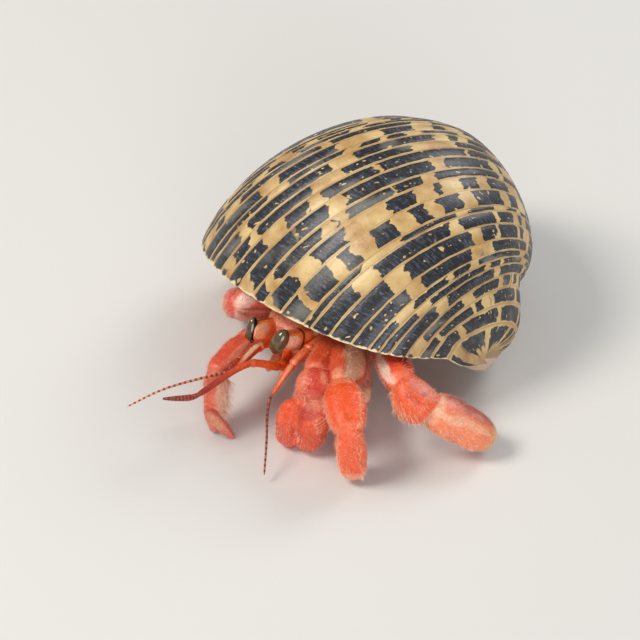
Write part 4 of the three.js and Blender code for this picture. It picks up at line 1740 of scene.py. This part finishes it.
LIMBS = (
    *limb(
        "cheliped_left",
        ((1.4, 1.4, 5.2), (4.2, -5.7, 7.0), (5.4, -7.3, 6.0), (4.9, -7.6, 0.0)),
        merus=dict(
            wide=(1.3, 1.5, 1.5), tall=(1.5, 1.8, 1.7), color="#e5552c",
            # The dark red patch at 60 degrees is painted shade.
            patches=(Patch(0.9, 60, 0.2, 18, BLOOD, 0.5), Patch(0.7, 140, 0.4, 16, SHRIMP, 0.5)),
            keels=(Keel(140, 0.12, 16),), fringes=(Fringe(140, 14, 10, 0.35, 0.5, 1.0),),
        ),
        carpus=dict(
            wide=(1.5, 1.9, 2.2), tall=(1.5, 1.8, 1.9), color="#e0452a",
            fringes=(Fringe(135, 26, 16, 0.28),), tubercles=5, tubercle=0.11,
            patches=(
                Patch(0.5, 134, 0.65, 28, SHRIMP, 0.7), Patch(0.5, 92, 0.5, 22, "#c83414", 0.5),
                Patch(0.9, 100, 0.2, 60, BLOOD, 0.35), Patch(0.35, 60, 0.25, 14, PINK, 0.5),
            ),
        ),
        palm=dict(
            wide=(2.1, 2.5, 2.1, 1.0), tall=(1.9, 2.1, 1.7, 0.9), color="#e64e20", rim_share=0.0,
            rasp=Rasp(0.28, 330, 0.17, 22), fringes=(Fringe(350, 60, 6, 0.4, 0.5, 0.85),), tubercles=1.5,
            rings=84, sides=96,
            patches=(
                Patch(0.04, 350, 0.06, 45, CREAM, 0.35), Patch(0.12, 12, 0.12, 40, BLOOD, 0.6),
                Patch(0.3, 22, 0.3, 9, BLOOD, 0.5), Patch(0.75, 345, 0.3, 60, "#cf4a2c", 0.5),
            ),
        ),
    ),
    Segment(
        "cheliped_left_finger", (3.9, -8.6, 5.1), (3.4, -8.5, 0.0), (1.0, 1.5, 1.4, 0.7),
        (1.1, 1.4, 1.35, 0.7), color="#e84e20", rim_share=0.0,
        patches=(Patch(0.8, 350, 0.3, 90, "#cf4a3c", 0.6), Patch(0.4, 300, 0.2, 14, BLOOD, 0.5)),
        keels=(Keel(20, 0.15, 20),), fringes=(Fringe(10, 60, 7, 0.35, 0.3, 1.0),), tubercles=3.0,
        tubercle=0.08,
    ),
    *limb(
        "cheliped_right",
        ((-5.4, 0.2, 4.4), (-5.0, -5.0, 5.9), (-4.4, -10.0, 5.6), (-3.2, -11.9, 0.8)),
        merus=dict(wide=(1.0, 1.2, 1.2), tall=(1.1, 1.2, 1.1), color="#e2593a"),
        carpus=dict(
            wide=(1.0, 1.25, 1.2), tall=(1.0, 1.3, 1.3), color="#e24e2a",
            keels=(Keel(62, 0.1, 10), Keel(130, 0.1, 14)), fringes=(Fringe(140, 22, 12, 0.4),),
            tubercles=3, tubercle=0.07,
            patches=(
                Patch(0.5, 50, 0.45, 16, "#f0997c", 0.75), Patch(0.5, 20, 0.5, 14, "#e07a58", 0.6),
            ),
        ),
        palm=dict(
            wide=(1.1, 1.3, 1.1, 0.6), tall=(1.2, 1.4, 1.2, 0.6), color="#da5c40", rim_share=0.0,
            fringes=(Fringe(10, 55, 22, 1.1, 0.05, 0.8), Fringe(150, 25, 14, 0.4)), tubercles=2.5,
            patches=(
                Patch(0.4, 45, 0.5, 40, "#e0aa88", 0.85), Patch(0.85, 120, 0.2, 90, "#dd8a76", 0.6),
            ),
        ),
    ),
    Segment(
        "cheliped_right_finger", (-3.0, -12.4, 2.6), (-1.5, -11.5, 0.4), (0.7, 0.7, 0.4), (0.7, 0.7, 0.4),
        color="#d9705c", rim_share=0.0, patches=(Patch(0.3, 160, 0.3, 60, TAN, 0.5),), rings=40, sides=32,
    ),
    *limb(
        "leg2_left",
        ((2.6, 2.0, 5.2), (7.2, -5.4, 7.4), (11.0, -8.9, 6.5), (11.2, -8.5, 1.2)),
        merus=dict(
            wide=(1.1, 1.5, 1.2), tall=(1.6, 2.2, 1.45), twist=0.7, color="#e2562f", rim_share=0.2,
            keels=(Keel(36, 0.16, 14),), fringes=(Fringe(40, 12, 16, 0.35), Fringe(300, 20, 10, 0.7)),
            tubercles=0.8, coat=0.6,
            patches=(
                Patch(0.62, 6, 0.45, 44, "#ffc8a0", 1.0), Patch(0.85, 40, 0.25, 10, BLOOD, 0.6),
                Patch(0.96, 75, 0.14, 40, PINK, 0.7),
            ),
        ),
        carpus=dict(
            wide=(1.3, 2.0, 1.65), tall=(1.2, 1.7, 1.45), color=FLAME, rim_share=0.3,
            keels=(Keel(165, 0.14, 12), Keel(48, 0.14, 12)), mottle=0.15,
            patches=(
                Patch(0.1, 95, 0.14, 55, PINK, 0.4), Patch(0.6, 168, 0.5, 14, PINK, 0.35),
                Patch(0.6, 45, 0.5, 12, PINK, 0.3), Patch(0.86, 92, 0.07, 12, BLOOD, 0.3),
            ),
            fringes=(
                Fringe(48, 12, 18, 0.4), Fringe(172, 18, 20, 0.5), Fringe(90, 50, 10, 0.3, 0.02, 0.25),
            ),
        ),
        propodus=dict(
            wide=(1.25, 1.5, 1.45), tall=(1.25, 1.5, 1.3), color="#f25c28", rim_share=0.0, blunt=(7, 14),
            patches=(Patch(1.0, 215, 0.2, 150, "#f0a684", 0.8), Patch(0.5, 265, 0.5, 14, PINK, 0.35)),
            keels=(Keel(262, 0.12, 14), Keel(165, 0.12, 14)), mottle=0.15,
            fringes=(
                Fringe(215, 120, 9, 0.24, 0.72, 1.0), Fringe(262, 16, 16, 0.35),
                Fringe(160, 18, 18, 0.45),
            ),
        ),
    ),
    *limb(
        "leg2_right",
        ((-5.6, 2.2, 5.4), (-8.0, -2.7, 7.4), (-10.0, -0.2, 5.0), (-11.8, 2.0, 1.9)),
        merus=dict(
            wide=(1.0, 1.25, 1.3), tall=(1.4, 1.9, 1.7), color="#e06a4a", rim_share=0.0, gloss=0.4,
            tubercles=0.2, mottle=0.1,
            patches=(
                # The palest pink patch on the knee is partly a painted highlight.
                Patch(0.75, 335, 0.42, 34, "#dcae9e", 0.9), Patch(0.92, 40, 0.16, 50, "#efc4b2", 0.95),
                Patch(0.72, 8, 0.3, 5, "#8a2c1c", 0.7), Patch(0.9, 350, 0.12, 7, "#a8402c", 0.6),
            ),
        ),
        carpus=dict(
            wide=(1.3, 1.6, 1.4), tall=(1.4, 1.6, 1.4), color="#d94a32", rim=CREAM,
            fringes=(Fringe(340, 40, 14, 0.35),),
        ),
        propodus=dict(
            wide=(1.3, 1.3, 1.1), tall=(1.2, 1.3, 1.1), color="#e25a3c", rim_share=0.0,
            patches=(Patch(1.0, 90, 0.2, 200, "#efa78a", 0.8),),
        ),
    ),
    *limb(
        "leg3_left",
        ((3.2, 4.8, 5.4), (11.2, -1.3, 7.0), (14.0, -0.7, 5.3), (18.6, 2.5, 1.9)),
        merus=dict(
            wide=(1.2, 1.6, 1.6), tall=(1.4, 1.8, 1.7), color="#e84e2a",
            keels=(Keel(172, 0.2, 14, 0.5, 1.1),),
            fringes=(Fringe(60, 20, 12, 0.6), Fringe(165, 16, 12, 0.5)),
            patches=(
                # The cream patch is the merus's pale edge with a painted highlight on it.
                Patch(0.8, 152, 0.3, 24, "#f8dcc8", 0.95), Patch(0.85, 66, 0.12, 20, BLOOD, 0.6),
                Patch(0.95, 95, 0.08, 50, FLAME, 0.5),
            ),
        ),
        carpus=dict(
            wide=(1.6, 2.05, 1.8), tall=(1.6, 2.1, 1.8), bow=(0.1, -0.4, -0.4), color="#f0602c",
            rim=CREAM, rim_share=0.7, fringes=(Fringe(200, 34, 15, 0.6), Fringe(75, 22, 16, 0.25)),
            tubercles=2.0,
            patches=(
                Patch(0.4, 92, 0.3, 24, "#d8705f", 0.8), Patch(0.3, 133, 0.1, 14, BLOOD, 0.5),
                Patch(0.5, 128, 0.12, 14, BLOOD, 0.4), Patch(0.3, 200, 0.4, 20, PINK, 0.6),
                Patch(0.6, 78, 0.24, 34, "#ee9c84", 0.5), Patch(0.56, 98, 0.08, 10, "#b03c3c", 0.6),
            ),
        ),
        propodus=dict(
            wide=(1.6, 2.05, 2.0, 1.5), tall=(1.6, 2.0, 1.9, 1.4), color="#f38a5c", rim_share=0.0,
            keels=(Keel(134, 0.12, 12),),
            fringes=(Fringe(200, 25, 16, 0.3), Fringe(130, 90, 14, 0.25, 0.86, 1.0)), mottle=0.15,
            patches=(
                # The rose and dark red patches darken the upper face towards its upper edge: its own rose
                # colour with painted shade over it.
                Patch(0.2, 84, 0.2, 24, "#f0a48c", 0.8), Patch(0.55, 78, 0.42, 34, "#b5503e", 0.7),
                Patch(0.6, 70, 0.4, 20, "#842a20", 0.65), Patch(0.3, 108, 0.2, 14, "#e9826c", 0.7),
                Patch(0.28, 147, 0.24, 13, "#f4bf9c", 0.6), Patch(0.65, 130, 0.32, 11, "#f4bf9c", 0.6),
                Patch(0.1, 135, 0.1, 80, "#f6cfae", 0.45), Patch(1.0, 130, 0.12, 150, TAN, 0.85),
            ),
        ),
    ),
    *limb(
        "leg3_right",
        ((-6.2, 4.8, 5.2), (-11.2, 3.6, 5.6), (-13.6, 5.2, 4.2), (-15.8, 8.4, 1.6)),
        merus=dict(wide=(1.1, 1.4, 1.4), tall=(1.2, 1.4, 1.3), color="#e25a3c"),
        carpus=dict(wide=(1.2, 1.5, 1.4), tall=(1.2, 1.4, 1.3), rim=CREAM),
        propodus=dict(
            wide=(1.3, 1.4, 1.1), tall=(1.2, 1.3, 1.0), color="#ea6a48", rim_share=0.0,
            patches=(Patch(1.0, 90, 0.2, 200, "#efa78a", 0.8),),
        ),
    ),
    Segment(
        "leg4_left", (1.6, 5.0, 3.6), (6.1, -1.1, 2.3), (0.9, 1.0, 1.1), (0.9, 1.0, 1.1), color="#dd9580",
        patches=(Patch(0.95, 50, 0.1, 50, CREAM, 0.7),), fringes=(Fringe(90, 50, 10, 0.6, 0.7, 0.95),),
        rings=40, sides=32,
    ),
    Segment(
        "leg4_right", (-6.2, 6.2, 4.2), (-9.2, 7.6, 2.4), (0.9, 1.0, 1.0), (0.9, 1.0, 1.0),
        color="#dd9580", rings=40, sides=32,
    ),
)

ANTENNULE_PATH = ((-1.7, -2.6, 4.9), (-0.6, -5.0, 5.2), (-1.75, -8.35, 7.0), (-2.9, -14.5, 6.5))
ANTENNULE_TIP = ((-3.1, -15.0, 6.5), (-4.0, -16.3, 6.7), (-4.84, -17.2, 6.8))


def antennules(node: str, path: tuple[Point, ...], **settings: object) -> tuple[Feeler, Feeler]:
    """Lay out the left and right antennule from the left one's path.

    Args:
        node: Their name without the hand.
        path: The left one's path.
        **settings: The feelers' other fields.

    Returns:
        The left and the right feeler.
    """
    moved = tuple(tuple(np.array(point) + RIGHT_ANTENNULE) for point in path)
    return Feeler(f"{node}_left", path, **settings), Feeler(f"{node}_right", moved, **settings)


FEELERS = (
    Feeler(
        "antenna_left", ((0.9, 0.6, 6.4), (1.1, -2.4, 6.8), (1.3, -5.5, 6.8), (1.8, -9.2, 5.65)),
        (0.65, 0.56, 0.46, 0.32, 0.16), color="#ee7446", joints=(0.38, 0.62),
        patches=(Patch(0.7, 60, 0.25, 30, "#ffb98c", 0.6),),
    ),
    Feeler(
        "antenna_right", ((-3.9, -1.6, 4.6), (-3.9, -4.4, 5.5), (-2.8, -9.2, 6.2)),
        (0.6, 0.52, 0.42, 0.2), color="#f0662a", joints=(0.4,),
        # The cream stripe along it is a painted highlight.
        patches=(Patch(0.6, 70, 0.3, 30, "#ffe2bc", 0.9),),
    ),
    *antennules(
        "antennule", ANTENNULE_PATH, radii=(0.5, 0.42, 0.34, 0.3, 0.3), tip="#8e2414", joints=(0.22, 0.5)
    ),
)

FLAGELLA = (
    Feeler(
        "antenna_flagellum_left",
        ((1.74, -8.9, 5.75), (1.82, -9.4, 5.55), (2.28, -10.4, 4.6), (3.68, -12.2, 3.0), (5.16, -14.3, 0.95)),
        (0.15, 0.14, 0.12, 0.1), color="#a2401f", tip="#c8643a", bead="#3a0f08",
        beads=30, rings=211, sides=12,
    ),
    Feeler(
        "antenna_flagellum_right",
        ((-2.76, -9.0, 6.2), (-3.0, -9.8, 6.3), (-3.8, -11.8, 6.6), (-6.3, -15.45, 6.0), (-8.7, -18.05, 4.2)),
        (0.15, 0.14, 0.12, 0.09), color="#e0855a", tip="#eab08c", bead="#7a2a1a",
        beads=44, rings=309, sides=12,
    ),
    *antennules(
        "antennule_flagellum", ((-2.85, -14.2, 6.5), *ANTENNULE_TIP), radii=(0.22, 0.32, 0.26, 0.12),
        color="#a8391c", tip="#7a2413", bead="#6a1c10", beads=22, rings=155, sides=14,
    ),
)

CLAW_TIPS = {
    "leg2_left": (8.6, -5.6, 0.0),
    "leg2_right": (-13.2, 3.9, 0.0),
    "leg3_left": (16.4, 5.5, 0.0),
    "leg3_right": (-16.6, 11.6, 0.0),
}


CLAW_LOOKS = {
    "color": "#5e2a1a",
    "rim": "#26120d",
    "rim_share": 1.0,
    "patches": (Patch(0.0, 0, 0.3, 400, "#b2573a", 0.8),),
    "tubercles": 0,
    "lumps": 0.02,
    "rings": 32,
    "sides": 28,
}


@dataclass(frozen=True)
class HornFinish:
    """Solid dark horn, worn smooth, paler at the root and darkest at the tip."""

    roughness: float = 0.3
    ior: float = 1.56

    def material(self) -> Material:
        """Build the material, which takes its colours from the claw's Tint attribute."""
        material, g, shader = start_material("claw_horn")
        tint = g.add("Attribute", out="Color", attribute_name="Tint")
        g.feed(shader, {"Base Color": tint, "Roughness": self.roughness, "IOR": self.ior})
        return material


@dataclass
class CrabSkin:
    """The crab's flesh as one closed skin, with its coat of setae."""

    shell: NeriteShell
    joint_reach: tuple[float, float] = (0.1, 0.36)  # from the crease, in millimetres
    joint_passes: int = 8
    crease: float = math.radians(60)  # the skin is smooth-shaded below this
    coats: tuple[Coat, ...] = (
        Coat("setae", seed=4, thick=0.023, longest=2.0, most=99.0, dense=1.0, steps=3, bend=6.0),
        Coat(
            "fuzz", seed=9, thick=0.015, longest=0.26, most=2.0, dense=6.0, steps=1, bend=0.0,
            finish=SetaeFinish(share=0.3),
        ),
    )
    finish: CuticleFinish = field(default_factory=CuticleFinish)

    def build(self) -> None:
        """Join every segment, feeler and the abdomen, and grow the setae."""
        plans = (*HEAD, *LIMBS, *FEELERS)
        parts = [plan.build(cell) for cell, plan in enumerate(plans)]
        parts.append(self.abdomen(len(parts)))
        nodes = [plan.node for plan in plans] + ["abdomen"]
        body = parts.pop(nodes.index("thorax"))
        body.name = "crab_skin"
        join_solids(body, parts)
        self.soften_joints(body.data)
        body.data.set_sharp_from_angle(angle=self.crease)
        for coat in self.coats:
            coat.grow(body, Slot.PALE, [])
        finish_piece(body, self.finish.material(), nodes)

    def soften_joints(self, mesh: Mesh) -> None:
        """Round the creases where segments meet, and let their colours run into one another.

        Args:
            mesh: The skin's mesh, whose Unwrap says which segment each corner came from.
        """
        count = len(mesh.vertices)
        corners = read(mesh.loops, "vertex_index", 1, np.int32)[:, 0]
        unwrap = read(mesh.attributes["Unwrap"].data, "vector", 3)
        cells = np.floor(unwrap[:, :2] * ATLAS) @ (1, ATLAS)
        first, last = np.full(count, np.inf), np.full(count, -np.inf)
        np.minimum.at(first, corners, cells)
        np.maximum.at(last, corners, cells)
        points = read(mesh.vertices, "co", 3).astype(float)
        seam = kdtree.KDTree(int((first < last).sum()))
        for i in np.flatnonzero(first < last):
            seam.insert(points[i], int(i))
        seam.balance()
        far = np.array([seam.find(point)[2] for point in points]) / MM
        share = 0.5 * (1 - smoothstep(far, *self.joint_reach))[:, None]

        layer = mesh.attributes["Tint"].data
        met = np.bincount(corners, minlength=count)[:, None]
        tint = read(layer, "color", 4)
        color = np.stack([np.bincount(corners, c, count) for c in tint.T], axis=-1) / met
        a, b = read(mesh.edges, "vertices", 2, np.int32).T
        met = (np.bincount(a, minlength=count) + np.bincount(b, minlength=count))[:, None]
        values = np.hstack([points, color])
        for _ in range(self.joint_passes):
            around = [np.bincount(a, v[b], count) + np.bincount(b, v[a], count) for v in values.T]
            values += share * (np.stack(around, axis=-1) / met - values)
        mesh.vertices.foreach_set("co", values[:, :3].astype(np.float32).ravel())
        layer.foreach_set("color", values[corners, 3:].astype(np.float32).ravel())
        mesh.update()

    def abdomen(self, cell: int) -> Object:
        """Build the soft abdomen, coiled in the shell.

        Args:
            cell: Its place in the skin's unwrap.

        Returns:
            Its object, bare of bristles.
        """
        points = self.shell.abdomen_rings()
        color = np.broadcast_to(np.array(linear(SOFT)), (*points.shape[:2], 4))
        bare = np.zeros(points.shape)
        return tube_object("abdomen", points, color, bare, bare, cell)


@dataclass
class Extremities:
    """The beaded flagella of the feelers, and the claws that the walking legs stand on."""

    taper: tuple[float, ...] = (0.8, 0.6, 0.25)  # half width of a claw from its joint to its tip
    horn: HornFinish = field(default_factory=HornFinish)
    cuticle: CuticleFinish = field(default_factory=CuticleFinish)

    def build(self) -> None:
        """Build each flagellum and each claw as a piece of its own."""
        cuticle = self.cuticle.material()
        for plan in FLAGELLA:
            piece = plan.build(0)
            piece.name = piece.data.name = f"beads_{plan.node}"
            finish_piece(piece, cuticle, [plan.node])
        horn = self.horn.material()
        ends = {plan.node: plan.end for plan in LIMBS}
        for leg, tip in CLAW_TIPS.items():
            node = f"{leg}_dactylus"
            plan = Segment(node, ends[f"{leg}_propodus"], tip, wide=self.taper, tall=self.taper, **CLAW_LOOKS)
            piece = plan.build(0)
            piece.name = piece.data.name = f"claw_{leg}"
            finish_piece(piece, horn, [node])


# ---- The studio -----------------------------------------------------------------------------


@dataclass(frozen=True)
class Lamp:
    """A soft square lamp that faces the crab."""

    name: str
    place: Point
    side: float  # millimetres
    power: float  # watts
    color: str

    def hang(self) -> None:
        """Put the lamp in its place and turn it to the crab."""
        data = bpy.data.lights.new(self.name, "AREA")
        data.size = self.side * MM
        data.energy = self.power
        data.color = linear(self.color)[:3]
        lamp = add_object(self.name, data)
        lamp.location = Vector(self.place) * MM
        lamp.rotation_euler = Vector(self.place).to_track_quat("Z", "Y").to_euler()


@dataclass
class Studio:
    """A pale floor under soft lamps, seen through a long lens from the front left, high up."""

    azimuth: float = math.radians(40)
    elevation: float = math.radians(40)
    distance: float = 435.84
    target: Point = (0.0, 0.0, 8.0)
    lens: float = 257.4
    sensor: float = 36.0
    clip: tuple[float, float] = (0.01, 10.0)  # metres
    floor: str = "#dcdad6"
    floor_reach: float = 3.0  # metres from its middle
    floor_roughness: float = 0.9
    sky: str = "#eef1f5"
    sky_strength: float = 0.4
    lamps: tuple[Lamp, ...] = (
        Lamp("key", (-150, -210, 330), 150, 1.1, "#fffaf2"),
        Lamp("fill", (300, -260, 120), 240, 0.8, "#f6f7fa"),
        Lamp("rim", (40, 330, 260), 180, 0.6, "#ffffff"),
    )

    def build(self) -> None:
        """Set the floor, the lamps, the sky and the camera."""
        self.lay_floor()
        for lamp in self.lamps:
            lamp.hang()
        self.open_sky()
        self.set_camera()

    def lay_floor(self) -> None:
        """Lay a paper sweep of floor, which stays out of the crab's model."""
        material, g, shader = start_material("paper_sweep")
        g.feed(shader, {"Base Color": linear(self.floor), "Roughness": self.floor_roughness})
        mesh = bpy.data.meshes.new("floor")
        r = self.floor_reach
        mesh.from_pydata([(-r, -r, 0), (r, -r, 0), (r, r, 0), (-r, r, 0)], [], [(0, 1, 2, 3)])
        mesh.materials.append(material)
        add_object("floor", mesh)

    def open_sky(self) -> None:
        """Light the scene evenly from all round."""
        world = bpy.data.worlds.new("sky")
        world.use_nodes = True
        background = world.node_tree.nodes["Background"]
        background.inputs["Color"].default_value = linear(self.sky)
        background.inputs["Strength"].default_value = self.sky_strength
        bpy.context.scene.world = world
        bpy.context.scene.view_settings.view_transform = "Standard"

    def set_camera(self) -> None:
        """Aim the camera at the crab."""
        data = bpy.data.cameras.new("camera")
        data.sensor_width = self.sensor
        data.lens = self.lens
        data.clip_start, data.clip_end = self.clip
        camera = add_object("camera", data)
        level = math.cos(self.elevation)
        across, ahead = math.sin(self.azimuth) * level, -math.cos(self.azimuth) * level
        back = Vector((across, ahead, math.sin(self.elevation)))
        target = Vector(np.array(self.target) + frame_offset()) * MM
        camera.location = target + back * self.distance * MM
        camera.rotation_euler = back.to_track_quat("Z", "Y").to_euler()
        bpy.context.scene.camera = camera


def corners(bounds: Sequence) -> list[list[float]]:
    """Give a box's two corners as plain lists."""
    return [[float(value) for value in corner] for corner in bounds]


def main() -> None:
    """Build the looks piece by piece."""
    logging.basicConfig(level=logging.INFO, format="%(message)s")
    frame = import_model()
    LOG.info("frame of %d nodes", len(frame["nodes"]))
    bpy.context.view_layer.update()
    shell = NeriteShell()
    shell.build()
    CrabSkin(shell).build()
    Extremities().build()
    cornea = CorneaFinish().material()
    Eye("eye_left", LEFT_EYE, radii=(0.8, 0.82, 1.45), tilt=0.3, band=0.93).build(cornea)
    Eye("eye_right", RIGHT_EYE, radii=(0.6, 0.64, 1.45), tilt=-0.05, band=0.02).build(cornea)
    Studio().build()


if __name__ == "__main__":
    main()
